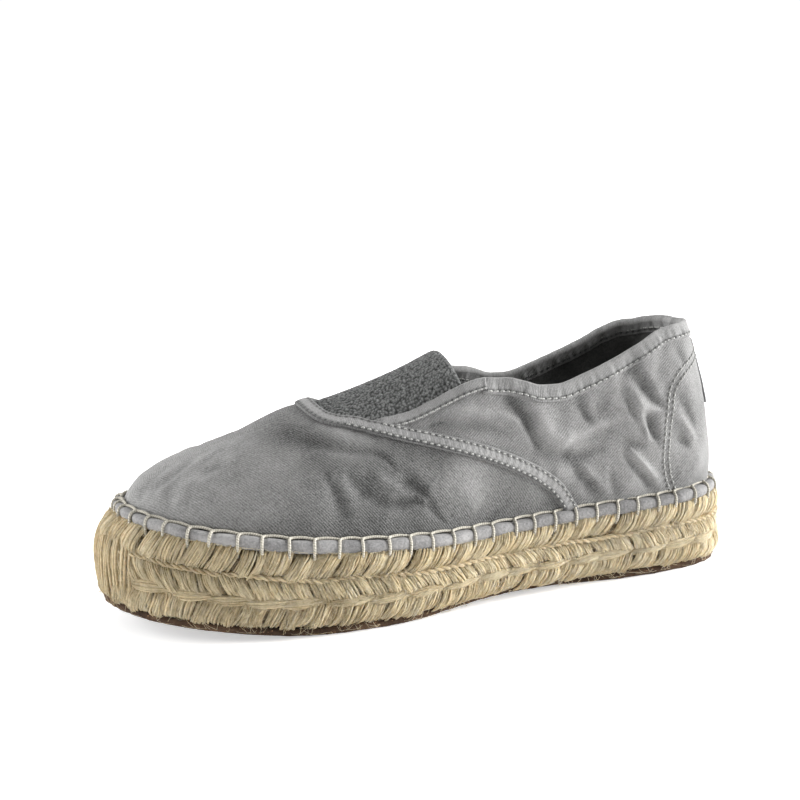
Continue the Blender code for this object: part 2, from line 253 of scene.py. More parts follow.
def throat_half(x, side, grow=0.0):
    """Half width of the throat's opening, rounded at its front; grow widens it all round."""
    start = THROAT_FRONT_X - THROAT_ROUND
    at_corner = np.where(side > 0, CORNER_HALF[1], CORNER_HALF[-1])
    at_front = np.where(side > 0, OUTER_THROAT_HALF, INNER_THROAT_HALF)
    taper = (at_corner - at_front) / (start - CORNER_X)
    half = at_front + grow + taper * np.clip(start - x, 0, None)
    round_off = np.clip((x - start) / (THROAT_ROUND + grow), 0, 1)
    return half * np.sqrt(1 - round_off**2)


def opening(points, side, grow=0.0):
    """Above zero inside the collar or the throat."""
    x, y, z = np.moveaxis(points, -1, 0)
    throat = throat_half(x, side, grow) - np.abs(y - smooth(CROWN_Y, x))
    ahead = np.where(x < THROAT_FRONT_X + grow, throat, -1.0)
    return np.where(x < CORNER_X, z - rim_height(x, side), ahead)


def edge_share(fraction, side, grow=0.0):
    """Share at which each section meets the opening's edge, or 1 where it runs to the crown."""
    steps = np.linspace(0.3, 1, 281)
    points = upper_point(fraction[:, None], side[:, None], steps[None, :])
    inside = opening(points, side[:, None], grow)
    first = np.argmax(inside > 0, axis=1)
    met = inside.max(axis=1) > 0
    rows = np.arange(len(fraction))
    low, high = inside[rows, first - 1], inside[rows, first]
    meet = steps[first - 1] + (steps[1] - steps[0]) * low / (low - high + 1e-12)
    return np.where(met, meet, 1.0)


# ---------------------------------------------------------------- charts of the last's surface


def round_chart(station, share):
    """Round the heel and the toe: station from 0 at the heel by 1 at the toe, share up the wall."""
    fraction, side = fraction_and_side(station)
    return upper_point(fraction, side, share)


def over_chart(fraction, across):
    """Over the instep: across is 1 at the outer edge, 0 on the crown line, -1 at the inner edge."""
    return upper_point(fraction, np.where(across >= 0, 1, -1), 1 - np.abs(across))


def slopes(chart, p, q):
    """How a point moves in millimetres with each of the chart's two numbers, and the normal."""
    step = 0.003
    if chart is round_chart:
        q = np.clip(q, step, 0.985)
    p, q = np.broadcast_arrays(p, q)
    by_p = (chart(p + step, q) - chart(p - step, q)) / (2 * step)
    by_q = (chart(p, q + step) - chart(p, q - step)) / (2 * step)
    normal = np.cross(by_p, by_q)
    normal /= np.linalg.norm(normal, axis=-1, keepdims=True) + 1e-9
    away = chart(p, q) - CENTRE
    away[..., 0] *= 0.2
    normal *= np.sign((normal * away).sum(axis=-1, keepdims=True))
    return by_p, by_q, normal


# Creases, listed: side, depth below the surface (a ridge is above zero), half width, then
# points (x, z) along the crease. The side is +1 outer, -1 inner.
CREASES = (
    # Fold under the collar's front corner, the bulge behind it and its ridge towards the heel.
    (1, -2.3, 3.2, ((-25, 82), (-29, 77), (-33, 71), (-35, 65), (-37, 59))),
    (1, 1.9, 4.2, ((-37, 79), (-41, 71), (-41, 63), (-48, 60), (-60, 63.5), (-73, 66.5))),
    (1, -1.7, 4.2, ((-34, 58), (-42, 54.5), (-54, 52.5), (-65, 54.5))),
    (1, -1.4, 3.0, ((-55, 78), (-58.5, 71), (-61, 66))),
    # Long ridge along the front of the quarter, with a hollow below it.
    (1, 1.1, 3.0, ((8, 75), (-8, 75), (-22, 73.5), (-29, 70))),
    (1, -1.3, 4.0, ((4, 70), (-10, 69.5), (-22, 66.5))),
    # Wedges against the heel counter, and the ridges between them.
    (1, -2.0, 3.0, ((-76, 78), (-80, 72), (-82, 66))),
    (1, -2.7, 3.6, ((-80, 88), (-86, 79), (-90, 73), (-93.5, 70))),
    (1, 1.4, 2.2, ((-80, 74), (-84, 70.5), (-88, 69), (-93, 68.5))),
    (1, -2.6, 3.0, ((-86.5, 67), (-89, 62), (-92, 55.5))),
    (1, 1.5, 2.0, ((-83.5, 69), (-86, 63), (-87.5, 57))),
    (1, -1.5, 2.8, ((-75, 56.5), (-80, 55), (-85, 54.5))),
    # Diagonals down to the foxing.
    (1, 1.5, 2.1, ((-93.5, 36.5), (-86, 45.5), (-79, 53.5))),
    (1, -1.5, 2.4, ((-90, 35.5), (-82.5, 44.5), (-76, 52))),
    (1, -1.2, 2.8, ((-66, 34.5), (-61, 40), (-53, 49))),
    (1, 0.7, 2.0, ((-69, 36), (-64, 42), (-57, 50))),
    (1, -0.9, 2.6, ((-73.5, 34), (-70, 45))),
    # Counter.
    (1, -1.7, 2.8, ((-101, 56.5), (-104, 53.5), (-108, 51))),
    (1, 1.3, 2.6, ((-100, 67), (-106, 60), (-111, 54))),
    (1, -1.1, 3.0, ((-102, 74), (-107, 66), (-111, 60))),
    (1, -0.8, 2.6, ((-103, 92), (-106, 88), (-107, 84))),
    # Vamp: a wandering trough from below the throat, dents at the ball, and the turn behind them.
    (1, -1.3, 2.3, ((62, 70.5), (48, 67.5), (38.6, 64), (27, 63.4), (23, 57.5))),
    (1, 0.9, 3.0, ((54, 74), (42, 70), (31, 67))),
    (1, -1.1, 2.9, ((46.5, 43), (47.5, 50), (50, 58))),
    (1, 0.6, 3.2, ((42, 45), (42.5, 50), (44, 57))),
    (1, -1.2, 2.3, ((40.5, 55), (35.5, 48.7), (27.5, 45.5), (17, 45.5), (11.5, 42.5), (5, 35))),
    (1, -1.2, 2.4, ((21, 54), (13.5, 48.5), (8.5, 41.5))),
    (1, 0.9, 2.6, ((33, 58), (27, 53), (22, 50))),
    (1, -1.3, 12.0, ((42, 60), (26, 52), (14, 44))),
    (1, 1.1, 9.0, ((4, 58), (-4, 48), (-9, 38))),
    (1, 0.8, 5.0, ((102, 52), (88, 53), (76, 56))),
    (1, -0.7, 5.0, ((96, 56), (84, 60), (74, 63))),
    # The inner side, quieter.
    (-1, -1.4, 4.5, ((-24, 80), (-31, 70), (-38, 60))),
    (-1, 0.8, 4.5, ((-36, 78), (-42, 66), (-48, 56))),
    (-1, -1.5, 4.2, ((-80, 82), (-87, 74), (-92, 66))),
    (-1, -1.2, 3.6, ((-66, 60), (-74, 50), (-82, 40))),
    (-1, 0.9, 3.4, ((-58, 66), (-70, 62), (-82, 62))),
    (-1, -0.9, 3.6, ((-50, 52), (-58, 44), (-64, 37))),
    (-1, 0.7, 3.4, ((6, 70), (-10, 69), (-24, 66))),
    (-1, -1.1, 5.5, ((46, 60), (32, 54), (18, 51), (4, 50))),
    (-1, -0.8, 4.0, ((20, 46), (8, 41), (0, 37))),
    (-1, -0.8, 4.0, ((-104, 58), (-112, 52), (-118, 48))),
)


def crease_depth(points, side_sign, crease):
    """One crease's height at points: wide where it starts, narrow where it runs out."""
    side, depth, half, route = crease
    route = np.array(route, float)
    bends = spread(route, 9)
    flat = points[..., (0, 2)]
    best = np.full(flat.shape[:-1], 1e9)
    place = np.zeros(flat.shape[:-1])
    count = len(bends) - 1
    for i in range(count):
        start, run = bends[i], bends[i + 1] - bends[i]
        t = np.clip(((flat - start) @ run) / (run @ run), 0, 1)
        off = ((flat - start - t[..., None] * run) ** 2).sum(axis=-1)
        closer = off < best
        best = np.where(closer, off, best)
        place = np.where(closer, (i + t) / count, place)
    fade = 0.30 + 0.70 * np.sin(np.pi * place) ** 0.7
    width = half * (1.22 - 0.72 * place)
    shape = np.exp(-best / width**2) - 0.25 * np.exp(-best / (2.3 * width) ** 2)
    return np.where(side_sign == side, depth * fade * shape, 0.0)


def make_waves(count, shortest, longest):
    """Directions, wavelengths in millimetres and phases of soft waves through space."""
    waves = []
    for _ in range(count):
        direction = random.normal(size=3)
        wavelength = random.uniform(shortest, longest)
        waves.append((direction / np.linalg.norm(direction), wavelength, random.uniform(0, 6.28)))
    return waves


def wave_sum(points, waves, steepness):
    """Height of all the waves at points; steepness is their height against their length."""
    total = np.zeros(points.shape[:-1])
    for direction, wavelength, phase in waves:
        swing = points @ direction * 2 * np.pi / wavelength + phase
        total += steepness * wavelength * np.sin(swing + 0.7 * np.sin(0.53 * swing + phase))
    return total


# Broad unevenness, small wrinkles, and where the wrinkles gather.
BROAD = make_waves(9, 18, 44)
WRINKLES = make_waves(12, 5.5, 13)
GATHERS = make_waves(5, 30, 70)


def folds(points):
    """Height of the canvas over the last: creases set by hand over a slight unevenness."""
    side_sign = np.where(points[..., 1] > smooth(CROWN_Y, points[..., 0]), 1, -1)
    height = np.zeros(points.shape[:-1])
    for crease in CREASES:
        height += crease_depth(points, side_sign, crease)
    gathered = np.clip(0.45 + wave_sum(points, GATHERS, 0.008), 0.1, 1.2)
    height = height + wave_sum(points, BROAD, 0.0045)
    height += gathered * wave_sum(points, WRINKLES, 0.0080)
    calm = np.clip((points[..., 2] - smooth(BRAID_TOP, points[..., 0]) - 1) / 8, 0.15, 1)
    over_top = np.clip(np.abs(points[..., 1] - smooth(CROWN_Y, points[..., 0])) / 7, 0, 1)
    return height * calm * over_top


def lay(chart, p, q, height):
    """Points this far above the creased canvas."""
    normal = slopes(chart, p, q)[2]
    base = chart(p, q)
    return base + normal * (folds(base) + height)[..., None]


# ---------------------------------------------------------------- meshes


def collection_link(obj):
    bpy.context.scene.collection.objects.link(obj)
    return obj


def make_piece(name, points, faces, material, replaced=(), attributes=None, merge=False):
    """A mesh piece from points in millimetres, riding on the shoe."""
    mesh = bpy.data.meshes.new(name)
    points = np.asarray(points, float).reshape(-1, 3)
    mesh.from_pydata((points * MM).tolist(), [], faces)
    for label, values in (attributes or {}).items():
        values = np.asarray(values, np.float32)
        if values.size == len(points) * 3:
            mesh.attributes.new(label, "FLOAT_VECTOR", "POINT").data.foreach_set("vector", values.ravel())
        else:
            mesh.attributes.new(label, "FLOAT", "POINT").data.foreach_set("value", values.ravel())
    if merge:
        work = bmesh.new()
        work.from_mesh(mesh)
        bmesh.ops.remove_doubles(work, verts=work.verts, dist=2e-6)
        work.to_mesh(mesh)
        work.free()
    mesh.shade_smooth()
    mesh.materials.append(material)
    obj = collection_link(bpy.data.objects.new(name, mesh))
    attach(obj, "root")
    if replaced:
        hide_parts(*replaced)
    return obj


def grid_faces(rows, columns, wrap_rows=False, wrap_columns=False, flip=False):
    """Quads of a grid of points stored row by row."""
    row = np.arange(rows if wrap_rows else rows - 1)[:, None]
    column = np.arange(columns if wrap_columns else columns - 1)[None, :]
    above, right = (row + 1) % rows, (column + 1) % columns
    corners = (
        row * columns + column, row * columns + right, above * columns + right, above * columns + column
    )
    faces = np.stack(np.broadcast_arrays(*corners), axis=-1).reshape(-1, 4)
    return (faces[:, ::-1] if flip else faces).tolist()


def caps(rings, count):
    """Faces straight across the first and the last of some rings of points round the shoe."""
    faces = []
    for first, step in ((0, 1), ((rings - 1) * count, -1)):
        ring = [first + i for i in range(count)]
        faces.append([ring[0], ring[1], ring[-1]][::step])
        for i in range(1, count // 2 - 1):
            faces.append([ring[i], ring[i + 1], ring[-i - 1], ring[-i]][::step])
        toe = count // 2
        faces.append([ring[toe - 1], ring[toe], ring[toe + 1]][::step])
    return faces


def tubes(paths, radius, sides, up):
    """Points and faces of many closed tubes, all with the same number of stations along them.

    paths is tubes x stations x 3, radius is a number or tubes x stations, up is a direction for
    each station that isn't along the tube.
    """
    count, stations, _ = paths.shape
    along = np.gradient(paths, axis=1)
    along /= np.linalg.norm(along, axis=-1, keepdims=True) + 1e-9
    across = np.cross(along, np.broadcast_to(up, paths.shape))
    across /= np.linalg.norm(across, axis=-1, keepdims=True) + 1e-9
    out = np.cross(across, along)
    radius = np.broadcast_to(radius, (count, stations))[..., None, None]
    turn = np.arange(sides) / sides * 2 * np.pi
    circle = across[:, :, None] * np.cos(turn)[:, None] + out[:, :, None] * np.sin(turn)[:, None]
    points = paths[:, :, None] + circle * radius
    one = np.array(grid_faces(stations, sides, wrap_columns=True))
    starts = np.arange(count)[:, None, None] * stations * sides
    faces = (one[None] + starts).reshape(-1, 4).tolist()
    ends = np.arange(sides)
    for i in range(count):
        first = i * stations * sides
        faces.append((first + ends[::-1]).tolist())
        faces.append((first + (stations - 1) * sides + ends).tolist())
    return points.reshape(-1, 3), faces


def tube_marks(paths, sides):
    """For each tube's point: millimetres along it, place round it, and a number of its own."""
    count, stations, _ = paths.shape
    steps = np.linalg.norm(np.diff(paths, axis=1), axis=-1)
    along = np.concatenate((np.zeros((count, 1)), np.cumsum(steps, axis=1)), axis=1)
    own = random.uniform(0, 40, count)[:, None, None]
    shape = (count, stations, sides)
    return np.stack(
        (
            np.broadcast_to(along[..., None] + own * 7, shape),
            np.broadcast_to(np.cos(np.arange(sides) / sides * 2 * np.pi), shape),
            np.broadcast_to(own, shape),
        ),
        axis=-1,
    ).reshape(-1, 3)


# ---------------------------------------------------------------- materials

FLOOR_GLOW = 0.50


def new_material(name):
    material = bpy.data.materials.new(name)
    material.use_nodes = True
    return material, material.node_tree.nodes["Principled BSDF"]


def put(material, kind, inputs=None, **settings):
    """A node with its settings; inputs are numbers, colours or sockets to link, by name or place."""
    tree = material.node_tree
    node = tree.nodes.new(kind)
    for name, value in settings.items():
        setattr(node, name, value)
    for name, value in (inputs or {}).items():
        if isinstance(value, bpy.types.NodeSocket):
            tree.links.new(value, node.inputs[name])
        else:
            node.inputs[name].default_value = value
    return node


def attribute(material, name):
    return put(material, "ShaderNodeAttribute", attribute_name=name)


def maths(material, operation, a, b=0.0, c=0.0):
    return put(material, "ShaderNodeMath", {0: a, 1: b, 2: c}, operation=operation).outputs[0]


def mixed(material, tone, *sources):
    """The tone with each source's swing about one half added, this much of it."""
    for source, amount in sources:
        swing = maths(material, "SUBTRACT", source, 0.5)
        tone = maths(material, "MULTIPLY_ADD", swing, amount, tone)
    return tone


def noise(material, vector, scale, detail=3.0, roughness=0.6, stretch=(1, 1, 1)):
    stretched = put(
        material, "ShaderNodeVectorMath", {0: vector, 1: stretch}, operation="MULTIPLY"
    ).outputs[0]
    inputs = {"Vector": stretched, "Scale": scale, "Detail": detail, "Roughness": roughness}
    return put(material, "ShaderNodeTexNoise", inputs).outputs["Fac"]


def ramp(material, factor, stops):
    node = put(material, "ShaderNodeValToRGB", {"Fac": factor})
    ramp_data = node.color_ramp
    while len(ramp_data.elements) < len(stops):
        ramp_data.elements.new(0.5)
    for element, (place, colour) in zip(ramp_data.elements, stops):
        element.position = place
        element.color = (*colour, 1.0)
    return node.outputs["Color"]


def link_surface(material, shader, colour, height, bump_distance, roughness):
    material.node_tree.links.new(colour, shader.inputs["Base Color"])
    bump = put(material, "ShaderNodeBump", {"Height": height, "Distance": bump_distance, "Strength": 1.0})
    material.node_tree.links.new(bump.outputs[0], shader.inputs["Normal"])
    shader.inputs["Roughness"].default_value = roughness
    shader.inputs["Specular IOR Level"].default_value = 0.25


def object_place(material):
    return put(material, "ShaderNodeTexCoord").outputs["Object"]


def canvas_material(name, dark, light, pitch=0.95, twill=1.0, patches=0.5):
    """Washed twill: flecks along slanting lines, worn paler on ridges, and painted shade in hollows from
    the fold attribute.
    """
    material, shader = new_material(name)
    cloth = attribute(material, "cloth").outputs["Vector"]
    fold = attribute(material, "fold").outputs["Fac"]
    parts = put(material, "ShaderNodeSeparateXYZ", {0: cloth})
    wobble = noise(material, cloth, 0.5, 2.0)
    turn = maths(material, "MULTIPLY", parts.outputs[0], 2 * np.pi / pitch)
    lines = maths(material, "SINE", maths(material, "MULTIPLY_ADD", wobble, 3.0, turn))
    flecks = noise(material, cloth, 1.0, 2.0, 0.7, (2.5, 1.1, 1.0))
    grain = noise(material, cloth, 4.5, 2.0, 0.7)
    wash = noise(material, cloth, 0.045, 4.0, 0.6)
    blotch = noise(material, cloth, 0.22, 3.0, 0.6)
    tone = maths(material, "MULTIPLY_ADD", lines, 0.10 * twill, 0.5)
    weave = ((flecks, 1.1 * twill), (grain, 1.2 * twill))
    tone = mixed(material, tone, *weave, (wash, 1.0 * patches), (blotch, 0.35 * patches))
    # Painted light and shade with some wear, from the fold attribute: darker in hollows, stitch holes and
    # low down, paler on worn ridges.
    tone = maths(material, "MULTIPLY_ADD", fold, 0.26, tone)
    colour = ramp(material, tone, ((0.0, dark), (1.0, light)))
    relief = maths(material, "MULTIPLY_ADD", flecks, 0.9, maths(material, "MULTIPLY", lines, 0.22))
    link_surface(material, shader, colour, relief, 0.00022, 0.85)
    shader.inputs["Sheen Weight"].default_value = 0.08
    shader.inputs["Sheen Roughness"].default_value = 0.5
    return material


def soft_cloth_material(name, dark, light, scale=900.0, depth=0.0002, patches=60.0):
    """Plain woven or knitted cloth seen as soft grain, for the foxing, lining and label."""
    material, shader = new_material(name)
    place = object_place(material)
    grain = noise(material, place, scale, 3.0, 0.7)
    patch = noise(material, place, patches, 3.0, 0.5)
    colour = ramp(material, mixed(material, grain, (patch, 0.9)), ((0.25, dark), (0.75, light)))
    link_surface(material, shader, colour, grain, depth, 0.9)
    shader.inputs["Sheen Weight"].default_value = 0.1
    return material


def elastic_material():
    """Mottled terry elastic: painted light on the yarn tips, painted shade near black between the loops."""
    material, shader = new_material("elastic_terry")
    place = object_place(material)
    loop_light_and_shade = attribute(material, "fold").outputs["Fac"]
    fuzz = noise(material, place, 1500.0, 3.0, 0.8)
    patch = noise(material, place, 420.0, 2.0, 0.6)
    # Painted light and shade from the loops' heads: pale tips, near-black gaps.
    tone = maths(material, "MULTIPLY_ADD", loop_light_and_shade, 0.55, maths(material, "MULTIPLY", fuzz, 0.5))
    tone = mixed(material, tone, (patch, 0.5))
    stops = ((0.2, (0.022, 0.023, 0.022)), (0.5, (0.10, 0.103, 0.10)), (0.85, (0.30, 0.305, 0.30)))
    colour = ramp(material, tone, stops)
    link_surface(material, shader, colour, fuzz, 0.0005, 0.95)
    shader.inputs["Sheen Weight"].default_value = 0.2
    return material


def jute_material(name, dark, middle, light):
    """Bundled straw-coloured fibres: streaks along each strand, darker between."""
    material, shader = new_material(name)
    strand = attribute(material, "strand").outputs["Vector"]
    parts = put(material, "ShaderNodeSeparateXYZ", {0: strand})
    streak = noise(material, strand, 1.0, 3.0, 0.75, (0.4, 11.0, 1.0))
    fleck = noise(material, object_place(material), 500.0, 3.0, 0.7)
    patch = noise(material, object_place(material), 55.0, 2.0, 0.5)
    own = maths(material, "FRACT", maths(material, "MULTIPLY", parts.outputs[2], 0.37))
    tone = maths(material, "MULTIPLY_ADD", streak, 0.95, -0.02)
    tone = mixed(material, tone, (own, 0.12), (fleck, 0.7), (patch, 0.4))
    # Painted shade: the jute darker towards the toe, away from the key light at the heel.
    toeward_painted_shade = put(material, "ShaderNodeSeparateXYZ", {0: object_place(material)}).outputs[0]
    tone = maths(material, "MULTIPLY_ADD", toeward_painted_shade, -0.7, tone)
    colour = ramp(material, tone, ((0.08, dark), (0.40, middle), (0.82, light)))
    relief = maths(material, "MULTIPLY_ADD", fleck, 0.5, streak)
    link_surface(material, shader, colour, relief, 0.0004, 0.8)
    shader.inputs["Subsurface Weight"].default_value = 0.3
    shader.inputs["Subsurface Radius"].default_value = (1.0, 0.7, 0.4)
    shader.inputs["Subsurface Scale"].default_value = 0.0012
    shader.inputs["Sheen Weight"].default_value = 0.1
    return material


def thread_material(name, dark, light):
    """Cotton thread: twist lines along the strand with a little fuzz."""
    material, shader = new_material(name)
    strand = attribute(material, "strand").outputs["Vector"]
    parts = put(material, "ShaderNodeSeparateXYZ", {0: strand})
    slant = maths(material, "MULTIPLY", parts.outputs[1], 1.6)
    twist = maths(material, "SINE", maths(material, "MULTIPLY_ADD", parts.outputs[0], 7.0, slant))
    fuzz = noise(material, object_place(material), 1800.0, 2.0, 0.7)
    tone = maths(material, "MULTIPLY_ADD", twist, 0.16, fuzz)
    colour = ramp(material, tone, ((0.2, dark), (0.75, light)))
    link_surface(material, shader, colour, tone, 0.0002, 0.85)
    return material


def rubber_material():
    """Rough crepe: brown with paler and reddish crumbs."""
    material, shader = new_material("crepe_rubber")
    place = object_place(material)
    crumbs = put(material, "ShaderNodeTexVoronoi", {"Vector": place, "Scale": 700.0})
    grain = noise(material, place, 900.0, 3.0, 0.7)
    patch = noise(material, place, 90.0, 3.0, 0.6)
    tone = maths(material, "MULTIPLY_ADD", patch, 0.7, maths(material, "MULTIPLY", grain, 0.35))
    stops = ((0.3, (0.022, 0.014, 0.009)), (0.55, (0.075, 0.044, 0.026)), (0.8, (0.20, 0.13, 0.08)))
    base = ramp(material, tone, stops)
    fleck = maths(material, "LESS_THAN", crumbs.outputs["Distance"], 0.16)
    own = put(material, "ShaderNodeSeparateColor", {0: crumbs.outputs["Color"]}).outputs[0]
    chosen = maths(material, "MULTIPLY", fleck, maths(material, "GREATER_THAN", own, 0.62))
    colour = put(
        material, "ShaderNodeMix", {0: chosen, 6: base, 7: (0.36, 0.20, 0.11, 1.0)}, data_type="RGBA"
    ).outputs[2]
    link_surface(material, shader, colour, grain, 0.0007, 0.9)
    return material


def floor_material():
    """White sweep, lit from below a little as a light table is, so that only contact is shaded."""
    material, shader = new_material("pale_floor")
    grain = noise(material, object_place(material), 40.0, 2.0)
    colour = ramp(material, grain, ((0.0, (0.88, 0.88, 0.88)), (1.0, (0.92, 0.92, 0.92))))
    link_surface(material, shader, colour, grain, 0.00001, 0.9)
    shader.inputs["Emission Color"].default_value = (1.0, 1.0, 1.0, 1.0)
    shader.inputs["Emission Strength"].default_value = FLOOR_GLOW
    return material


CANVAS = canvas_material("washed_canvas", (0.038, 0.038, 0.037), (0.36, 0.357, 0.351))
TAPE = canvas_material("canvas_tape", (0.06, 0.06, 0.059), (0.45, 0.447, 0.44), 0.6, 0.7, 0.35)
ELASTIC = elastic_material()
FOXING = soft_cloth_material("foxing_cotton", (0.165, 0.163, 0.163), (0.375, 0.368, 0.363), 1100.0, 0.00025)
LINING = soft_cloth_material("grey_lining", (0.068, 0.068, 0.066), (0.155, 0.155, 0.15))
LABEL = soft_cloth_material("label_cloth", (0.13, 0.13, 0.132), (0.25, 0.252, 0.255), 1600.0)
JUTE = jute_material("jute_strands", (0.27, 0.205, 0.11), (0.60, 0.48, 0.29), (0.87, 0.75, 0.545))
# A darker copy of the jute for the core seen between the strands: painted shade in the gaps.
JUTE_IN_SHADE = jute_material("jute_core", (0.14, 0.10, 0.055), (0.32, 0.25, 0.155), (0.52, 0.43, 0.29))
COTTON = thread_material("natural_cotton", (0.28, 0.26, 0.21), (0.66, 0.63, 0.55))
THREAD = thread_material("grey_thread", (0.22, 0.22, 0.21), (0.54, 0.54, 0.52))
RUBBER = rubber_material()


def make_strands(name, paths, radius, sides, up, material=JUTE):
    """A piece of tubes, marked for the streaks or the twist along each."""
    points, faces = tubes(paths, radius, sides, up)
    marks = {"strand": tube_marks(paths, sides)}
    return make_piece(name, points, faces, material, (), marks)


# ---------------------------------------------------------------- canvas panels

# The taped seam's lower edge over the instep: place across (1 outer, 0 crown, -1 inner) against
# the fraction of the foot that it has reached.
TAPE_EDGE = (
    (-1.0, 0.315), (-0.90, 0.34), (-0.842, 0.365), (-0.788, 0.395), (-0.73, 0.43), (-0.668, 0.47),
    (-0.60, 0.51), (-0.532, 0.55), (-0.447, 0.592), (-0.387, 0.617), (-0.33, 0.640), (-0.24, 0.662),
    (-0.09, 0.680), (0.0, 0.683), (0.065, 0.681), (0.245, 0.664), (0.338, 0.640), (0.387, 0.615),
    (0.447, 0.590), (0.532, 0.55), (0.60, 0.51), (0.668, 0.47), (0.73, 0.43), (0.788, 0.395),
    (0.842, 0.365), (0.90, 0.34), (1.0, 0.315),
)


def seam_shares(fraction, side):
    """Share at which the vamp ends under the tape: 0 behind the seam's foot, 1 ahead of the throat."""
    across = np.linspace(0, 1, 400)
    shares = np.empty(len(fraction))
    for sign in (1, -1):
        chosen = side == sign
        reached = smooth(TAPE_EDGE, across * sign)
        order = np.argsort(reached)
        rise = 1 - across[order]
        shares[chosen] = np.interp(fraction[chosen], reached[order], rise, left=0.0, right=1.0)
    return shares


def cloth_marks(points, along, tilt):
    """Millimetres along and up the cloth, turned by tilt, for the weave."""
    up = points[..., 2] - 0.7 * np.abs(points[..., 1])
    c, s = np.cos(tilt), np.sin(tilt)
    return np.stack((c * along + s * up, c * up - s * along, points[..., 1] * 0.1), axis=-1)


def crease_wear_and_shade(points):
    """How far the cloth stands up or sinks, -1 to 1: paler on the ridges, as wear leaves them, and darker
    in the hollows as painted shade.
    """
    return np.clip(folds(points) / 1.5, -1, 1)


# How much paler than the plain dye the cloth is, by x: partly wear, paler at toe and heel, and partly
# painted light and shade matched to how the light falls along each side.
VAMP_WEAR_AND_SHADE = ((-60, -0.2), (0, -0.6), (20, -0.75), (48, -0.75), (70, -0.2), (90, 0.4), (131, 1.3))
QUARTER_WEAR_AND_SHADE = (
    (-131, 0.3), (-100, 0.4), (-88, 0.7), (-60, 0.2), (-40, -0.1), (-20, 0.0), (0, 0.5), (40, 0.6),
)
VAMP_GRID = (620, 90)
QUARTER_GRID = (590, 94)
LINING_GRID = (320, 34)
# The vamp lies on the foot from this fraction on at each side, and the quarters end past the gore.
VAMP_FOOT = 0.318
QUARTERS_END = 0.684


def make_panel(name, stations, low, high, rows, tilt, lift, wear_and_shade, replaced=()):
    """A panel of canvas between two shares of the wall; tilt turns its weave."""
    rise = np.linspace(0, 1, rows)[:, None]
    share = low + (high - low) * rise
    station = np.broadcast_to(stations, share.shape)
    base = round_chart(station, share)
    points = lay(round_chart, station, share, np.full(share.shape, lift))
    along = np.where(station > 0, OUTER_LENGTH, INNER_LENGTH) * station - LENGTH / 2
    if name == "vamp":
        along = base[..., 0]
    # Painted shade: the cloth is a little darker low down, by the foxing.
    painted_shade_by_foxing = 0.55 * np.clip((47 - base[..., 2]) / 12, 0, 1)
    # The fold attribute carries crease wear and painted crease shade, the wear and painted light and shade
    # along x, and the painted shade low down.
    tone = crease_wear_and_shade(base) + smooth(wear_and_shade, base[..., 0]) - painted_shade_by_foxing
    marks = {"cloth": cloth_marks(base, along, tilt), "fold": tone}
    faces = grid_faces(rows, len(stations), flip=True)
    return make_piece(name, points, faces, CANVAS, replaced, marks, merge=True)


def make_vamp():
    stations = np.linspace(VAMP_FOOT, 2 - VAMP_FOOT, VAMP_GRID[0])
    fraction, side = fraction_and_side(stations)
    high = seam_shares(fraction, side)
    low = np.zeros(len(stations))
    overlap = np.where(high < 0.999, 0.012, 0.0)
    high = np.where(fraction < 0.69, np.minimum(high + overlap, 1.0), 1.0)
    return make_panel("vamp", stations, low, high, VAMP_GRID[1], -0.61, 0.0, VAMP_WEAR_AND_SHADE)


def make_quarters():
    stations = np.linspace(-QUARTERS_END, QUARTERS_END, QUARTER_GRID[0])
    fraction, side = fraction_and_side(stations)
    low = np.where(fraction < VAMP_FOOT, 0.0, seam_shares(fraction, side) + 0.004)
    high = edge_share(fraction, side)
    low = np.minimum(low, high - 0.002)
    rows = QUARTER_GRID[1]
    return make_panel("quarters", stations, low, high, rows, 0.80, 0.05, QUARTER_WEAR_AND_SHADE, ("upper",))


def make_lining():
    """The inside of the upper, a wall's thickness in from the canvas."""
    columns, rows = LINING_GRID
    stations = np.linspace(0, 2, columns + 1)[:-1]
    fraction, side = fraction_and_side(stations)
    share = edge_share(fraction, side) * np.linspace(0, 1, rows)[:, None]
    depth = np.full(share.shape, -WALL)
    points = lay(round_chart, np.broadcast_to(stations, share.shape), share, depth)
    faces = grid_faces(rows, columns, wrap_columns=True)
    return make_piece("lining", points, faces, LINING, merge=True)


# ---------------------------------------------------------------- strips laid on the canvas


def lateral_steps(chart, p, q):
    """Chart steps that move a point one millimetre to the left of the path, on the surface."""
    by_p, by_q, normal = slopes(chart, p, q)
    along = np.gradient(chart(p, q), axis=0)
    along /= np.linalg.norm(along, axis=-1, keepdims=True)
    across = np.cross(normal, along)
    pp, pq, qq = (by_p * by_p).sum(-1), (by_p * by_q).sum(-1), (by_q * by_q).sum(-1)
    a, b = (by_p * across).sum(-1), (by_q * across).sum(-1)
    det = pp * qq - pq * pq
    return (a * qq - b * pq) / det, (b * pp - a * pq) / det


def even_path(chart, p, q, spacing):
    """The path resampled so that its points are this far apart on the surface."""
    along = distances(chart(p, q))
    count = int(along[-1] / spacing) + 1
    at = np.linspace(0, along[-1], count)
    return np.interp(at, along, p), np.interp(at, along, q), at


def strip_points(chart, p, q, offsets, heights):
    """Points at lateral offsets from a path and heights over the canvas; both path x offsets."""
    step_p, step_q = lateral_steps(chart, p, q)
    offsets = np.broadcast_to(offsets, heights.shape)
    on_p = p[:, None] + offsets * step_p[:, None]
    on_q = q[:, None] + offsets * step_q[:, None]
    return lay(chart, on_p, on_q, heights)


# How deep a row of stitches pulls a band in, and how far in from a tape's edge its fold shows.
DIP_DEPTH = 0.28
FOLD_LINE = 0.62


def rounded(offsets, low, high, thickness, soften):
    """Height of a flat band's top whose two edges are rounded."""
    inside = np.clip(np.minimum(offsets - low, high - offsets) / soften, 0, 1)
    return thickness * np.sqrt(1 - (1 - inside) ** 2)


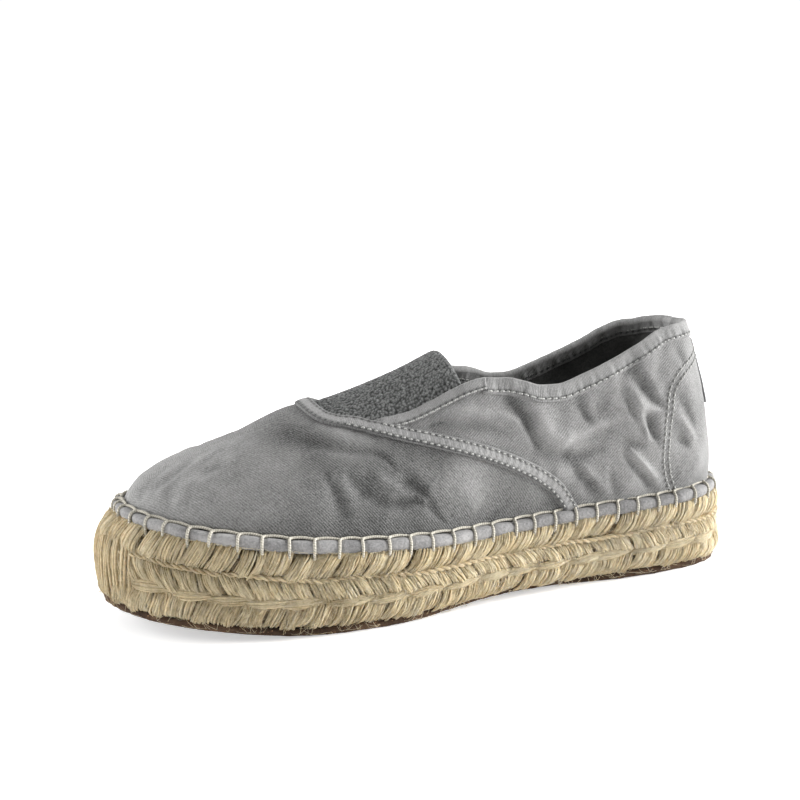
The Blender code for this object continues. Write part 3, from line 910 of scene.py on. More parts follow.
def stitch_dips(along, offsets, lines, pitch, depth=DIP_DEPTH):
    """Pinches where a line of stitches pulls a band down, deepest at its needle holes."""
    dips = np.zeros(np.broadcast_shapes(along.shape, offsets.shape))
    hole = 0.5 - 0.5 * np.cos(2 * np.pi * along / pitch)
    for line in lines:
        near = np.exp(-(((offsets - line) / 0.55) ** 2))
        dips += depth * near * (0.45 + 0.55 * (1 - hole) ** 3)
    return dips


def make_band(name, chart, p, q, low, high, thickness, lines, pitch, quilt=0.12):
    """A flat tape from lateral offset low to high along a path, pinched along its stitch lines."""
    p, q, along = even_path(chart, p, q, 0.6)
    by_edge = high - np.array((0.95, FOLD_LINE, 0.3, 0))
    offsets = np.concatenate((np.linspace(low, high - 1.3, 14), by_edge))[None]
    along_grid = along[:, None]
    dips = stitch_dips(along_grid, offsets, lines, pitch)
    fold_line = np.exp(-(((offsets - high + FOLD_LINE) / 0.22) ** 2))
    top = rounded(offsets, low, high, thickness, 0.7) - dips - 0.30 * fold_line
    ripple = np.sin(2 * np.pi * along_grid / pitch + 0.8 * np.sin(along_grid / 9))
    middle = np.exp(-(((offsets - np.mean(lines)) / (0.35 * (high - low))) ** 2))
    top = top + quilt * ripple * middle * (offsets > low) * (offsets < high)
    top = np.maximum(top, 0.02)
    top[:, (0, -1)] = -0.25
    points = strip_points(chart, p, q, offsets, top)
    under = strip_points(chart, p, q, offsets[:, ::-1], np.full(top.shape, -0.45))
    loop = np.concatenate((points, under), axis=1)
    base = strip_points(chart, p, q, offsets, np.zeros(top.shape))
    cloth = np.stack(np.broadcast_arrays(along_grid, offsets, 0 * top), axis=-1)
    # Painted shade: darker in the stitch holes, along both edges and on the fold line, with the canvas's
    # crease shade carried over; the hidden underside is painted dark.
    shade = -2.6 * dips / DIP_DEPTH + 0.35
    edge = np.clip(np.minimum(offsets - low, high - offsets) / 0.8, 0, 1)
    shade = shade - 1.3 * (1 - edge) - 1.2 * fold_line + 0.3 * crease_wear_and_shade(base)
    marks = {
        "cloth": np.concatenate((cloth, cloth[:, ::-1]), axis=1),
        "fold": np.concatenate((shade, 0 * shade - 1), axis=1),
    }
    faces = grid_faces(len(p), loop.shape[1], wrap_columns=True)
    return make_piece(name, loop, faces, TAPE, (), marks)


def stitch_paths(chart, p, q, offset, pitch, length, height, start=0.0):
    """Arched paths of one line of separate stitches."""
    p, q, along = even_path(chart, p, q, 0.5)
    step_p, step_q = lateral_steps(chart, p, q)
    count = int((along[-1] - start) / pitch)
    middle = start + (np.arange(count) + 0.5) * pitch + random.normal(0, 0.06, count)
    reach = np.linspace(-0.5, 0.5, 7)
    at = middle[:, None] + reach * length
    side = offset + random.normal(0, 0.10, (count, 1)) * reach
    on_p = np.interp(at, along, p) + side * np.interp(at, along, step_p)
    on_q = np.interp(at, along, q) + side * np.interp(at, along, step_q)
    arch = height * (1 - (2 * np.abs(reach)) ** 3) - 0.35 * (2 * np.abs(reach)) ** 4
    return lay(chart, on_p, on_q, np.broadcast_to(arch, at.shape))


STITCHES = []


def add_stitches(*line, **options):
    STITCHES.append(stitch_paths(*line, **options))


# The tape's lateral direction points to the toe, so offsets are below zero towards the quarters.
TAPE_SPAN = (-6.4, 0.0)
TAPE_LINES = (-1.25, -5.1)
TAPE_THICKNESS = 1.25
STITCH_PITCH = 2.7


def make_tape():
    """The double-stitched tape over the seam between vamp and quarters, and round the throat."""
    q = np.linspace(0.995, -0.995, 600)
    p = smooth(TAPE_EDGE, q)
    make_band("vamp_tape", over_chart, p, q, *TAPE_SPAN, TAPE_THICKNESS, TAPE_LINES, STITCH_PITCH)
    for line, starts_at in zip(TAPE_LINES, (0.36, 0.46)):
        for beside in (q > starts_at, q < -starts_at):
            place = (over_chart, p[beside], q[beside], line, STITCH_PITCH)
            add_stitches(*place, 1.7, TAPE_THICKNESS + 0.05)


BINDING_THICKNESS = 0.85
# Where the binding's flat part ends and its fold starts, and how far the fold stands over the edge.
FOLD_START = -0.9
FOLD_RISE = 1.55


def make_binding(name, low_station, high_station, width, stitch_line, puckers, tucked=None):
    """A folded tape over the opening's edge: down the outside, over the rim and down the inside."""
    stations = np.linspace(low_station, high_station, 900)
    fraction, side = fraction_and_side(stations)
    p, q, along = even_path(round_chart, stations, edge_share(fraction, side), 0.6)
    step_p, step_q = lateral_steps(round_chart, p, q)
    down = np.median(np.where(step_q > 0, -1.0, 1.0))
    flat = np.linspace(-width, FOLD_START, 14)
    turn = np.linspace(0, np.pi, 9)[1:-1]
    offsets = np.concatenate((flat, FOLD_START + 0 * turn, flat[::-1]))
    lift = np.concatenate((0 * flat, np.sin(turn), 0 * flat))
    swing = np.concatenate((0 * flat + 1, np.cos(turn), 0 * flat - 1))
    top = rounded(flat, -width, 9.0, BINDING_THICKNESS, 0.7)
    tops = np.concatenate((top, 0 * turn + BINDING_THICKNESS, top[::-1]))
    depth = -WALL / 2 + swing * (WALL / 2 + tops)
    ripple = np.zeros((len(p), len(offsets)))
    for wavelength, amount, phase in ((3.1, 0.10, 0.3), (5.3, 0.12, 1.9), (8.7, 0.12, 0.9)):
        wave = np.sin(2 * np.pi * along / wavelength + phase + 1.3 * np.sin(along / 17 + phase))
        ripple += amount * puckers * wave[:, None]
    middle = np.exp(-(((offsets + 0.55 * width) / (0.32 * width)) ** 2)) + 0.35 * lift
    dips = stitch_dips(along[:, None], offsets[None, :], (stitch_line,), STITCH_PITCH, 0.3)
    height = depth + np.sign(swing) * (ripple * middle - dips * (lift == 0))
    if tucked:
        from_end = along[-1] - along if tucked == "end" else along
        thinner = np.clip(from_end / 9, 0.3, 1)[:, None]
        height = -WALL / 2 + (height + WALL / 2) * thinner
    height[:, 0] = -0.3
    height[:, -1] = -WALL + 0.3
    on_p = p[:, None] - down * offsets * step_p[:, None]
    on_q = q[:, None] - down * offsets * step_q[:, None]
    points = lay(round_chart, on_p, on_q, height)
    points[..., 2] += lift * FOLD_RISE
    bottom = points[:, :1] * 0.5 + points[:, -1:] * 0.5
    loop = np.concatenate((points, bottom), axis=1)
    edge = np.clip((offsets + width) / 0.8, 0, 1)
    # Painted light and shade: paler on the puckers' crests, darker in their troughs, in the stitch holes
    # and along the outer edge.
    shade = 0.05 + 1.5 * ripple * middle - 8.0 * dips * (lift == 0) - 0.8 * (1 - edge)
    shade = np.concatenate((shade, shade[:, :1]), axis=1)
    across = np.concatenate((offsets, [-width])) * np.concatenate((swing, [0]))
    cloth = np.stack(np.broadcast_arrays(along[:, None], across[None, :], 0 * shade), axis=-1)
    width_count = loop.shape[1]
    faces = grid_faces(len(p), width_count, wrap_columns=True, flip=True)
    faces.append(list(range(width_count)))
    faces.append([(len(p) - 1) * width_count + i for i in reversed(range(width_count))])
    make_piece(name, loop, faces, TAPE, (), {"cloth": cloth, "fold": shade})
    clear = {"end": slice(None, -14), "start": slice(14, None), None: slice(None)}[tucked]
    length = 2.3 if tucked else 1.9
    line = (round_chart, p[clear], q[clear], -down * stitch_line, STITCH_PITCH, length, 0.0)
    for lift_by in (BINDING_THICKNESS + 0.1, -WALL - BINDING_THICKNESS - 0.1):
        STITCHES.append(raise_paths(stitch_paths(*line), lift_by))


def raise_paths(paths, by):
    """Stitch paths moved along the surface's outward direction."""
    away = paths.mean(axis=1) - CENTRE
    away[:, 2] = 0
    away[:, 0] *= 0.25
    away /= np.linalg.norm(away, axis=1, keepdims=True)
    return paths + away[:, None] * by


# Heel counter's edge: share up the wall against the fraction of the foot ahead of the heel.
COUNTER_EDGE = (
    (0.0, 0.150), (0.065, 0.158), (0.12, 0.166), (0.19, 0.170), (0.28, 0.168), (0.357, 0.163),
    (0.415, 0.157), (0.482, 0.140), (0.54, 0.103), (0.565, 0.075), (0.58, 0.056),
)


def make_heel_seams():
    """Double rows along the heel counter's edge on each side, and one each side of the back seam."""
    for sign in (1, -1):
        share = np.linspace(0.02, 0.58, 200)
        station = sign * smooth(COUNTER_EDGE, share)
        for offset in (-1.3, 1.3):
            add_stitches(round_chart, station, share, offset, STITCH_PITCH, 2.0, 0.35)
        share = np.linspace(0.03, 0.39, 80)
        station = np.full(80, sign * 0.0105)
        add_stitches(round_chart, station, share, 0.0, STITCH_PITCH, 1.9, 0.32)


def finish_stitches():
    """All the collected stitches as one piece."""
    paths = np.concatenate(STITCHES)
    away = paths - CENTRE
    away[..., 0] *= 0.2
    return make_strands("topstitching", paths, 0.34, 6, away, THREAD)


# ---------------------------------------------------------------- elastic gore


def bumps(u, v, pitch, jitter):
    """Rounded heads on a jittered grid: height 0 to 1 at places u, v in millimetres."""
    cell_u, cell_v = np.floor(u / pitch), np.floor(v / pitch)
    best = np.full(u.shape, 9.0)
    for du in (-1, 0, 1):
        for dv in (-1, 0, 1):
            a, b = cell_u + du, cell_v + dv
            wild = np.sin(a * 127.1 + b * 311.7) * 43758.5453
            wild_b = np.sin(a * 269.5 + b * 183.3) * 24634.6345
            x = (a + 0.5 + jitter * (wild - np.floor(wild) - 0.5)) * pitch
            y = (b + 0.5 + jitter * (wild_b - np.floor(wild_b) - 0.5)) * pitch
            best = np.minimum(best, np.hypot(u - x, v - y) / pitch)
    return np.clip(1 - best / 0.75, 0, 1)


def make_gore():
    """Looped elastic under the throat, with a thick rolled free edge at the back."""
    columns, rows = 165, 155
    across = np.linspace(-1, 1, columns)
    side = np.where(across >= 0, 1, -1)
    along = np.linspace(0, 1, rows)
    fraction = np.empty((rows, columns))
    place = np.empty((rows, columns))
    for i, share in enumerate(along):
        bow = GORE_EDGE_BOW * (1 - share) * across**2
        fraction[i] = GORE_FREE_EDGE + (GORE_FRONT + 0.004 - GORE_FREE_EDGE) * share - bow
        low = edge_share(fraction[i], side, 6.0)
        place[i] = (1 - low) * across
    base = over_chart(fraction, place)
    normal = slopes(over_chart, fraction, place)[2]
    u = distances(base[:, columns // 2])[:, None] + 0 * place
    v = base[..., 1]
    heads = bumps(u + 0.3 * np.sin(v), v, 1.0, 0.9)
    sink = 1.0 + 0.9 * along[:, None] ** 3
    edge = np.clip(u / 2.2, 0, 1)
    roll = np.sqrt(1 - (1 - edge) ** 2)
    top = base + normal * (-sink - 1.8 * (1 - roll) + 0.62 * heads * (0.3 + 0.7 * roll))[..., None]
    under = base + normal * (-sink - 2.2 - 0.4 * (1 - roll))[..., None]
    points = np.concatenate((top, under[::-1]), axis=0)
    # Painted light and shade: the loops' heads pale and the gaps between them dark, and the underside
    # painted darker still.
    shade = np.concatenate((heads, heads[::-1] * 0.4), axis=0)
    faces = grid_faces(2 * rows, columns, wrap_rows=True)
    replaced = ("elastic_gore",)
    return make_piece("elastic_terry", points, faces, ELASTIC, replaced, {"fold": shade})


# ---------------------------------------------------------------- heel label


def label_ring(first, last):
    """Rows and columns round the patch, a little in from its edge."""
    steps = range(first, last)
    ring = [(first, i) for i in steps] + [(i, last) for i in steps]
    ring += [(last, last + first - i) for i in steps] + [(last + first - i, first) for i in steps]
    return ring


LABEL_POINTS = 61
LABEL_REACH = 0.052
LABEL_HEIGHTS = (66, 93)
LABEL_STITCH_INSET = 6


def make_label():
    """A plain stitched patch over the back of the heel."""
    count = LABEL_POINTS
    reach = np.linspace(-LABEL_REACH, LABEL_REACH, count)
    heights = np.linspace(*LABEL_HEIGHTS, count)
    fraction, side = np.abs(reach), np.where(reach >= 0, 1, -1)
    steps = np.linspace(0, 1, 401)
    share = np.empty((count, count))
    for j in range(count):
        rise = upper_point(np.full(401, fraction[j]), np.full(401, side[j]), steps)[:, 2]
        share[:, j] = np.interp(heights, rise, steps)
    station = np.broadcast_to(reach, share.shape)
    a = np.linspace(-1, 1, count)
    inside = np.minimum(1 - np.abs(a)[:, None], 1 - np.abs(a)[None, :])
    puff = 1.0 + 0.25 * np.clip(inside / 0.25, 0, 1) - 0.35 * np.exp(-(((inside - 0.10) / 0.03) ** 2))
    outer = lay(round_chart, station, share, puff)
    inner = lay(round_chart, station, share, 0 * puff + 0.1)
    points = np.concatenate((outer, inner[::-1]), axis=0)
    rows = 2 * count
    faces = grid_faces(rows, count, wrap_rows=True)
    left = [i * count for i in range(rows)]
    right = [i + count - 1 for i in left]
    for i in range(count - 1):
        back = rows - 1 - i
        faces.append([left[i], left[i + 1], left[back - 1], left[back]])
        faces.append([right[i + 1], right[i], right[back], right[back - 1]])
    row, column = np.array(label_ring(LABEL_STITCH_INSET, count - 1 - LABEL_STITCH_INSET)).T
    route = (station[row, column], share[row, column])
    add_stitches(round_chart, *route, 0.0, 2.2, 1.5, 1.05)
    return make_piece("heel_patch", points, faces, LABEL, ("heel_label",))


# ---------------------------------------------------------------- foxing and blanket stitch

BAND_STITCH = 9.4
STITCH_COUNT = int(round(RING_LENGTH / BAND_STITCH))
# The roll's middle out from the upper's foot and up from the braid, and its half width and height.
ROLL_MIDDLE = (1.3, 2.3)
ROLL_HALF = (2.55, 2.45)
ROLL_GRID = (1060, 18)


def beside_ring(station, out, rise):
    """A point out from the upper's foot and above the braid's top."""
    fraction, _ = fraction_and_side(station)
    plan = round_the_ring(RING, station) + round_the_ring(OUTWARD, station) * (
        out - smooth(UPPER_INSET, fraction)
    )[..., None]
    height = smooth(BRAID_TOP, plan[..., 0]) + GAP + rise
    return np.concatenate((plan, height[..., None]), axis=-1)


def make_foxing():
    """A soft roll, pinched under each blanket stitch and fuller between."""
    count, round_it = ROLL_GRID
    distance = round_distances(count)
    station = station_at(distance)
    phase = distance / RING_LENGTH * STITCH_COUNT
    to_stitch = np.abs(phase - np.round(phase))
    pinch = np.exp(-((to_stitch / 0.085) ** 2))
    swell = np.cos(2 * np.pi * (phase - 0.5)) * 0.5 + 0.5
    turn = np.linspace(0, 2 * np.pi, round_it + 1)[:-1]
    across = np.cos(turn)[None, :]
    up = np.sin(turn)[None, :]
    girth = (1 - 0.16 * pinch + 0.05 * swell)[:, None]
    lump = 0.12 * np.sin(distance / 2.3 + 2 * np.sin(distance / 13))[:, None] * np.clip(across, 0, 1)
    out = ROLL_MIDDLE[0] + ROLL_HALF[0] * np.sign(across) * np.abs(across) ** 0.75 * girth + lump
    rise = ROLL_MIDDLE[1] + ROLL_HALF[1] * np.sign(up) * np.abs(up) ** 0.85 * girth
    rise = rise + 0.25 * np.sin(distance / 5.1)[:, None] * (up > 0)
    points = beside_ring(station[:, None] + 0 * out, out, rise)
    faces = grid_faces(count, round_it, wrap_rows=True, wrap_columns=True)
    return make_piece("foxing_roll", points, faces, FOXING, ("foxing_band",))


def make_blanket_stitch():
    """A running thread along the roll's top, and a loop down over it into the jute at each stitch."""
    starts = round_distances(STITCH_COUNT) + random.normal(0, 0.35, STITCH_COUNT)
    ends = np.roll(starts, -1)
    ends[-1] += RING_LENGTH
    run = np.linspace(0, 1, 12)[:-1]
    along = starts[:, None] + (ends - starts)[:, None] * run
    sag = np.sin(np.pi * run)
    run_out = 0.75 - 0.55 * sag + 0 * along
    run_rise = 5.15 + 0.5 * sag + 0 * along
    drop = np.array((
        (0.9, 5.4), (1.6, 5.3), (2.5, 5.0), (3.35, 4.5), (3.95, 3.7), (4.15, 2.8), (4.15, 1.5),
        (4.0, 0.3), (3.95, -0.8), (3.8, -1.9), (3.1, -2.9), (1.8, -3.6),
    ))
    lean = np.linspace(0, 1, len(drop)) ** 0.7
    wander = random.normal(0, 0.35, STITCH_COUNT)[:, None]
    drop_along = ends[:, None] + (0.9 + wander) * lean
    paths_along = np.concatenate((along, drop_along), axis=1)
    outs = np.concatenate((run_out, np.broadcast_to(drop[:, 0], drop_along.shape)), axis=1)
    rises = np.concatenate((run_rise, np.broadcast_to(drop[:, 1], drop_along.shape)), axis=1)
    paths = beside_ring(station_at(paths_along), outs, rises)
    paths = np.stack([spread(softened(path), 34) for path in paths])
    outward = np.zeros(paths.shape)
    outward[..., :2] = round_the_ring(OUTWARD, station_at(starts))[:, None]
    outward[..., 2] = 0.7
    return make_strands("blanket_stitch", paths, 0.58, 7, outward, COTTON)


def softened(path):
    """The path with its corners rounded."""
    for _ in range(3):
        path[1:-1] = (path[:-2] + 2 * path[1:-1] + path[2:]) / 4
    return path


# ---------------------------------------------------------------- braided jute

# Roughly how high the braid is, to turn millimetres into shares of it.
BRAID_HEIGHT = 26
# The toe's wrap reaches this far each way along the ring from its tip.
TOE_WRAP_SPAN = (-27.0, 24.0)
CORE_POINTS = 520
OUTSOLE_POINTS = 900
FIBRES = 3000


def braid_point(distance, share, out):
    """On the sole's side: millimetres round the ring, share of the height, and out from its face."""
    station = station_at(distance)
    fraction, _ = fraction_and_side(station)
    lean = np.clip(smooth(UPPER_INSET, fraction) - UPPER_INSET[0][1], 0, None)
    reach = out - lean * np.clip(share, 0, 1) ** 4 * 0.8
    plan = round_the_ring(RING, station) + round_the_ring(OUTWARD, station) * reach[..., None]
    bottom = smooth(SOLE_BOTTOM, plan[..., 0]) + OUTSOLE + GAP
    top = smooth(BRAID_TOP, plan[..., 0])
    height = bottom + (top - bottom) * share
    return np.concatenate((plan, height[..., None]), axis=-1)


def outward_at(distance):
    """Direction out of the braid's side, a little upwards."""
    plan = round_the_ring(OUTWARD, station_at(distance))
    return np.concatenate((plan, np.full((*plan.shape[:-1], 1), 0.15)), axis=-1)


def strand_row(name, low, high, lean, count, yarns, radius, bulge, crown, wild, phase=0.0):
    """A row of slanting bundles, each of several yarns that dive in at both of the row's edges."""
    pitch = RING_LENGTH / count
    t = np.linspace(0, 1, 8)
    middle = (np.arange(count) + phase) * pitch + random.normal(0, 0.05 * pitch, count)
    wide = pitch * random.uniform(0.90, 1.05, count)
    own_lean = lean * random.uniform(0.8, 1.25, count)
    bow = random.normal(0, 0.5 * wild, count)
    level = random.normal(0, 0.25 * wild, count)
    rows = random.normal(0, 0.018, count)
    paths, ups, radii = [], [], []
    for k in range(yarns):
        place = (k + 0.5) / yarns - 0.5
        shift = place * wide + random.normal(0, 0.10 * wild, count)
        own = own_lean * random.uniform(0.92, 1.08, count)
        along = (middle + shift)[:, None] + (t - 0.5) * own[:, None]
        bend = bow + random.normal(0, 0.22 * wild, count)
        along = along + bend[:, None] * np.sin(np.pi * t)
        stray = random.normal(0, 0.16 * wild, (count, 1)) * np.sin(3 * np.pi * t + 6 * place)
        share = low + (high - low) * t + (rows + random.normal(0, 0.010, count))[:, None]
        arch = np.sin(np.pi * t) ** 0.5
        round_off = crown * (1 - (2 * place) ** 2)
        height = bulge + round_off + (level + random.normal(0, 0.13 * wild, count))[:, None]
        paths.append(braid_point(along + stray, share, -3.0 + height * arch - radius))
        ups.append(outward_at(along))
        radii.append(radius * random.uniform(0.75, 1.2, count)[:, None] * (0.6 + 0.4 * arch))
    paths, ups, radii = np.concatenate(paths), np.concatenate(ups), np.concatenate(radii)
    return make_strands(name, paths, radii, 5, ups)


def make_groove_cord(name, share, out, twist_pitch, radius, spread_by):
    """Two thin plies twisted round each other along a groove."""
    count = 760
    distance = np.arange(count + 1) / count * RING_LENGTH
    turns = round(RING_LENGTH / twist_pitch)
    wave = 0.012 * np.sin(distance / 7.0) + 0.008 * np.sin(distance / 3.1 + 1)
    paths = []
    for start in (0, np.pi):
        angle = distance / RING_LENGTH * turns * 2 * np.pi + start
        height = share + wave + spread_by * np.sin(angle) / BRAID_HEIGHT
        swing = spread_by * np.cos(angle) + 0.5 * np.sin(distance / 11)
        paths.append(braid_point(distance, height, out + swing))
    return make_strands(name, np.array(paths), radius, 6, outward_at(distance)[None])


def make_long_loops(name, share, pitch, length, yarns, radius):
    """Flat strands that run along a groove, each rising out, crossing and diving in again."""
    count = int(round(RING_LENGTH / pitch))
    t = np.linspace(0, 1, 17)
    middle = (np.arange(count) + random.normal(0, 0.12, count)) / count * RING_LENGTH
    paths, ups, radii = [], [], []
    for k in range(yarns):
        place = (k + 0.5) / yarns - 0.5
        along = middle[:, None] + (t - 0.5) * length * random.uniform(0.9, 1.1, count)[:, None]
        arch = np.sin(np.pi * t) ** 0.6
        tilt = -0.075 * (t - 0.5)
        level = share + tilt + place * 0.13 * arch + random.normal(0, 0.004, count)[:, None]
        out = -2.2 + (2.1 + 0.5 * (1 - (2 * place) ** 2)) * arch + random.normal(0, 0.1, count)[:, None]
        paths.append(braid_point(along, level, out - radius))
        ups.append(outward_at(along))
        radii.append(radius * (0.5 + 0.5 * arch) + np.zeros((count, 1)))
    paths, ups, radii = np.concatenate(paths), np.concatenate(ups), np.concatenate(radii)
    return make_strands(name, paths, radii, 5, ups)


def make_toe_wrap():
    """Long upright strands round the toe's tip, where the braid turns."""
    t = np.linspace(0, 1, 21)
    count = 64
    middle = OUTER_LENGTH + np.linspace(*TOE_WRAP_SPAN, count) + random.normal(0, 0.7, count)
    curve = random.normal(0, 0.9, (count, 1)) * np.sin(np.pi * t)
    curve = curve + random.normal(0, 1.3, (count, 1)) * (t - 0.5)
    curve = curve + random.normal(0, 0.3, (count, 1)) * np.sin(7 * t)
    sweep = 5.0 * (t[None, :] - 0.5) ** 3 * np.sign(middle - OUTER_LENGTH)[:, None]
    along = middle[:, None] + curve + sweep
    share = 0.02 + 0.97 * t[None, :] + np.zeros((count, 1))
    arch = np.sin(np.pi * t) ** 0.3
    ends = np.clip((1 - np.abs(np.linspace(-1, 1, count))) / 0.25, 0, 1)[:, None]
    out = -2.2 + (2.3 * ends + random.normal(0, 0.45, count)[:, None]) * arch
    paths = braid_point(along, share, out)
    radius = 0.62 * (0.6 + 0.4 * arch) + np.zeros((count, 1))
    return make_strands("toe_wrap_strands", paths, radius, 6, outward_at(along))


def make_jute_core():
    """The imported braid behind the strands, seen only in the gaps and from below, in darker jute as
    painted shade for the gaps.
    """
    rows = ((0.0, -5.0), (0.02, -2.4), (0.5, -1.9), (0.98, -2.4), (1.0, -5.0))
    count = CORE_POINTS
    distance = round_distances(count)
    rings = [braid_point(distance, np.full(count, share), np.full(count, out)) for share, out in rows]
    faces = grid_faces(len(rows), count, wrap_columns=True) + caps(len(rows), count)
    points = np.concatenate(rings)
    marks = {"strand": np.stack((points[:, 0], points[:, 2], points[:, 1] * 0.1), axis=-1)}
    return make_piece("jute_core", points, faces, JUTE_IN_SHADE, ("jute_sole",), marks)


def make_fuzz():
    """Loose fibres that stand off the jute."""
    count = FIBRES
    t = np.linspace(0, 1, 5)
    start = random.uniform(0, RING_LENGTH, count)[:, None]
    share = random.uniform(0.02, 0.98, count)[:, None]
    length = random.uniform(3, 15, count)[:, None]
    angle = random.uniform(-np.pi, np.pi, count)[:, None]
    curl = random.normal(0, 1.3, count)[:, None]
    heading = angle + curl * t
    along = start + np.cumsum(np.cos(heading), axis=1) * length / 5
    height = share + np.cumsum(np.sin(heading), axis=1) * length / 5 / BRAID_HEIGHT
    stand = random.uniform(0.1, 1.5, count)[:, None]
    out = -0.6 + stand * np.sin(np.pi * t) ** 0.8
    height = np.clip(height, -0.06, 1.05)
    return make_strands("loose_fibres", braid_point(along, height, out), 0.07, 3, outward_at(along))


# ---------------------------------------------------------------- outsole and insole


def make_outsole():
    """Crepe sheet with an uneven cut edge."""
    count = OUTSOLE_POINTS
    distance = round_distances(count)
    station = station_at(distance)
    base = round_the_ring(RING, station)
    outward = round_the_ring(OUTWARD, station)
    edge = smooth(OUTSOLE_INSET, base[:, 0])
    rings = []
    for rise, pull in ((0.0, 1.3), (0.25, 0.5), (0.9, 0.1), (1.8, 0.0), (2.6, 0.15), (3.0, 0.7)):
        rough = 0.35 * np.sin(distance / 1.7 + 5 * rise) * np.sin(distance / 4.3 + rise)
        rough += random.normal(0, 0.10, count)
        plan = base - outward * (edge + pull + rough * (0 < rise < OUTSOLE))[:, None]
        rings.append(np.column_stack((plan, smooth(SOLE_BOTTOM, plan[:, 0]) + rise)))
    faces = grid_faces(len(rings), count, wrap_columns=True) + caps(len(rings), count)
    points = np.concatenate(rings)
    return make_piece("crepe_outsole", points, faces, RUBBER, ("outsole",))


# The sock's worn hollows: x of their middle, reach and depth.
WORN = ((-88, 26, 0.7), (42, 30, 0.56))
SOCK_RISE = 2.45


def make_insole():
    """A cloth sock pressed down under heel and ball, with a soft edge."""
    count = 240
    stations = np.linspace(0, 2, count + 1)[:-1]
    fraction, _ = fraction_and_side(stations)
    inset = smooth(UPPER_INSET, fraction) + 2.7
    edge = round_the_ring(RING, stations) - round_the_ring(OUTWARD, stations) * inset[:, None]
    spine = np.column_stack((np.clip(edge[:, 0], -92, 92), smooth(CROWN_Y, edge[:, 0])))
    rings = []
    for share, rise in ((0.0, 0.0), (0.0, 1.6), (0.012, 2.2), (0.04, SOCK_RISE)):
        flat = edge + (spine - edge) * share
        rings.append(np.column_stack((flat, smooth(BRAID_TOP, flat[:, 0]) + GAP + rise)))
    for share in np.linspace(0.08, 0.98, 24):
        flat = edge + (spine - edge) * share
        hollow = sum(deep * np.exp(-(((flat[:, 0] - x) / reach) ** 2)) for x, reach, deep in WORN)
        rise = SOCK_RISE - hollow * smooth(((0, 0), (0.5, 0.9), (1, 1)), share)
        rise += 0.10 * np.sin(flat[:, 0] / 9) * np.sin(flat[:, 1] / 7)
        rings.append(np.column_stack((flat, smooth(BRAID_TOP, flat[:, 0]) + GAP + rise)))
    faces = grid_faces(len(rings), count, wrap_columns=True) + caps(len(rings), count)
    points = np.vstack(rings)
    return make_piece("insole_sock", points, faces, LINING, ("insole",), merge=True)


# ---------------------------------------------------------------- stage, light and camera


KEY = 6.6
RIM = 3.0
# Strength of the studio's white behind the shoe, and of its dim front.
BACK_FILL = 1.05
FRONT_FILL = 0.06
FLOOR_HALF = 150.0
# Azimuth, elevation and roll in degrees, then millimetres.
CAMERA_ANGLES = (161.19, 10.36, -1.89)
CAMERA_TARGET = (8.63, 0.0, 76.99)
CAMERA_DISTANCE = 587.4
CAMERA_LENS = 66.3
CAMERA_SENSOR = 36.0


def add_sun(name, source, strength, softness):
    """Even light from a direction, as from a very large softbox this many degrees across."""
    light = bpy.data.lights.new(name, "SUN")
    light.energy = strength
    light.angle = np.radians(softness)
    obj = collection_link(bpy.data.objects.new(name, light))
    obj.matrix_world = looking((0, 0, 2), source)


def looking(place, back, roll=0.0):
    """A placing matrix whose -Z looks against back, level unless rolled."""
    back = np.array(back, float) / np.linalg.norm(back)
    right = np.cross((0, 0, 1), back)
    right /= np.linalg.norm(right)
    up = np.cross(back, right)
    c, s = np.cos(roll), np.sin(roll)
    columns = (c * right + s * up, -s * right + c * up, back)
    matrix = Matrix.Identity(4)
    for i, column in enumerate((*columns, np.array(place, float))):
        for j in range(3):
            matrix[j][i] = column[j]
    return matrix


def make_stage():
    mesh = bpy.data.meshes.new("floor")
    signs = ((-1, -1), (1, -1), (1, 1), (-1, 1))
    mesh.from_pydata([(a * FLOOR_HALF, b * FLOOR_HALF, 0) for a, b in signs], [], [(0, 1, 2, 3)])
    mesh.materials.append(floor_material())
    collection_link(bpy.data.objects.new("floor", mesh))
    make_world()
    add_sun("key_from_heel", (-0.94, 0.16, 0.30), KEY, 32.0)
    add_sun("rim_from_toe", (0.90, -0.35, 0.35), RIM, 50.0)


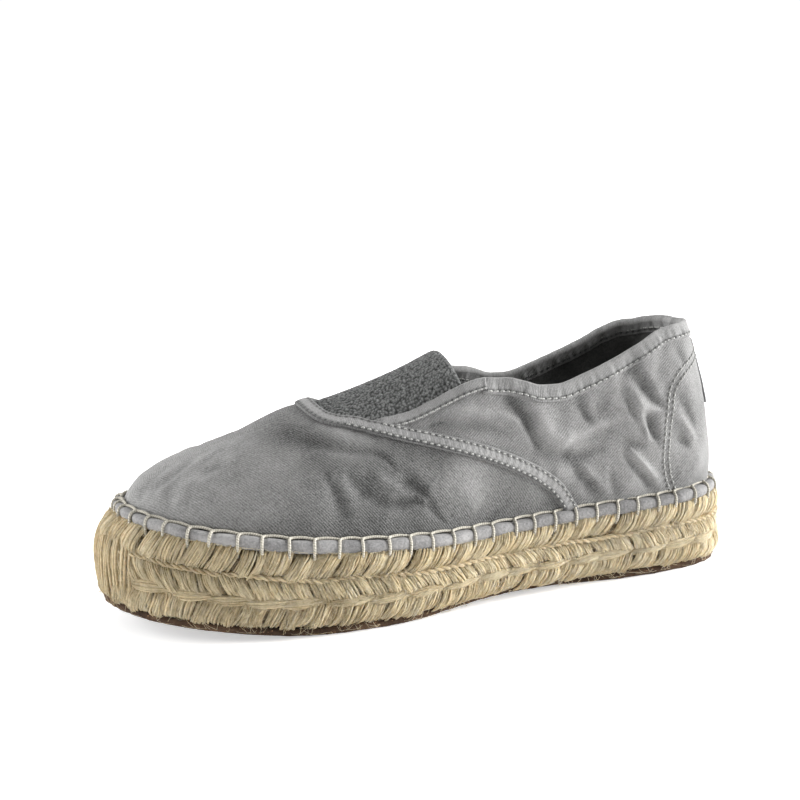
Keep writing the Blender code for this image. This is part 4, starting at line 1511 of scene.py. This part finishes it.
def make_world():
    """White studio, dimmer on the camera's side than behind the shoe and to its two ends."""
    world = bpy.data.worlds.new("studio")
    world.use_nodes = True
    background = world.node_tree.nodes["Background"]
    background.inputs["Color"].default_value = (1.0, 1.0, 1.0, 1.0)
    heading = put(world, "ShaderNodeTexCoord").outputs["Generated"]
    front = put(
        world, "ShaderNodeVectorMath", {0: heading, 1: (0.32, 0.93, 0.18)}, operation="DOT_PRODUCT"
    ).outputs["Value"]
    fill = {0: front, 1: -0.25, 2: 0.9, 3: BACK_FILL, 4: FRONT_FILL}
    level = put(world, "ShaderNodeMapRange", fill).outputs[0]
    world.node_tree.links.new(level, background.inputs["Strength"])
    bpy.context.scene.world = world


def make_camera():
    """The photo's view, fitted to the sole's edges and the collar."""
    azimuth, elevation, roll = np.radians(CAMERA_ANGLES)
    back = np.array((
        np.sin(azimuth) * np.cos(elevation), -np.cos(azimuth) * np.cos(elevation), np.sin(elevation),
    ))
    place = (np.array(CAMERA_TARGET) + back * CAMERA_DISTANCE) * MM
    camera = bpy.data.cameras.new("camera")
    camera.sensor_width = CAMERA_SENSOR
    camera.lens = CAMERA_LENS
    camera.clip_start = 0.01
    camera.clip_end = 500.0
    obj = collection_link(bpy.data.objects.new("camera", camera))
    obj.matrix_world = looking(place, back, roll)
    bpy.context.scene.camera = obj
    bpy.context.scene.view_settings.view_transform = "Standard"


def main():
    """The upper and its sewing, then the sole from the foxing down, then the studio."""
    make_vamp()
    make_quarters()
    make_lining()
    make_tape()
    make_binding("collar_binding", -0.428, 0.428, 6.6, -4.9, 1.0)
    make_binding("throat_band_outer", 0.424, 0.600, 5.0, -3.9, 0.5, "end")
    make_binding("throat_band_inner", 1.400, 1.576, 5.0, -3.9, 0.5, "start")
    make_heel_seams()
    make_label()
    finish_stitches()
    make_gore()
    make_foxing()
    make_blanket_stitch()
    make_jute_core()
    top_row = dict(count=STITCH_COUNT, yarns=15, radius=0.50, bulge=2.6, crown=1.4, wild=0.9)
    low_row = dict(count=108, yarns=11, radius=0.48, bulge=2.7, crown=0.8, wild=1.2)
    strand_row("braid_row_top", 0.65, 1.085, -6.8, phase=0.68, **top_row)
    strand_row("braid_row_middle", 0.32, 0.70, 5.2, **low_row)
    strand_row("braid_row_bottom", -0.02, 0.36, -5.2, **low_row)
    make_groove_cord("groove_cord", 0.672, -1.2, 6.5, 0.62, 0.5)
    make_long_loops("groove_loops", 0.345, 15.0, 21.0, 6, 0.62)
    make_toe_wrap()
    make_fuzz()
    make_outsole()
    make_insole()
    make_stage()
    make_camera()


main()
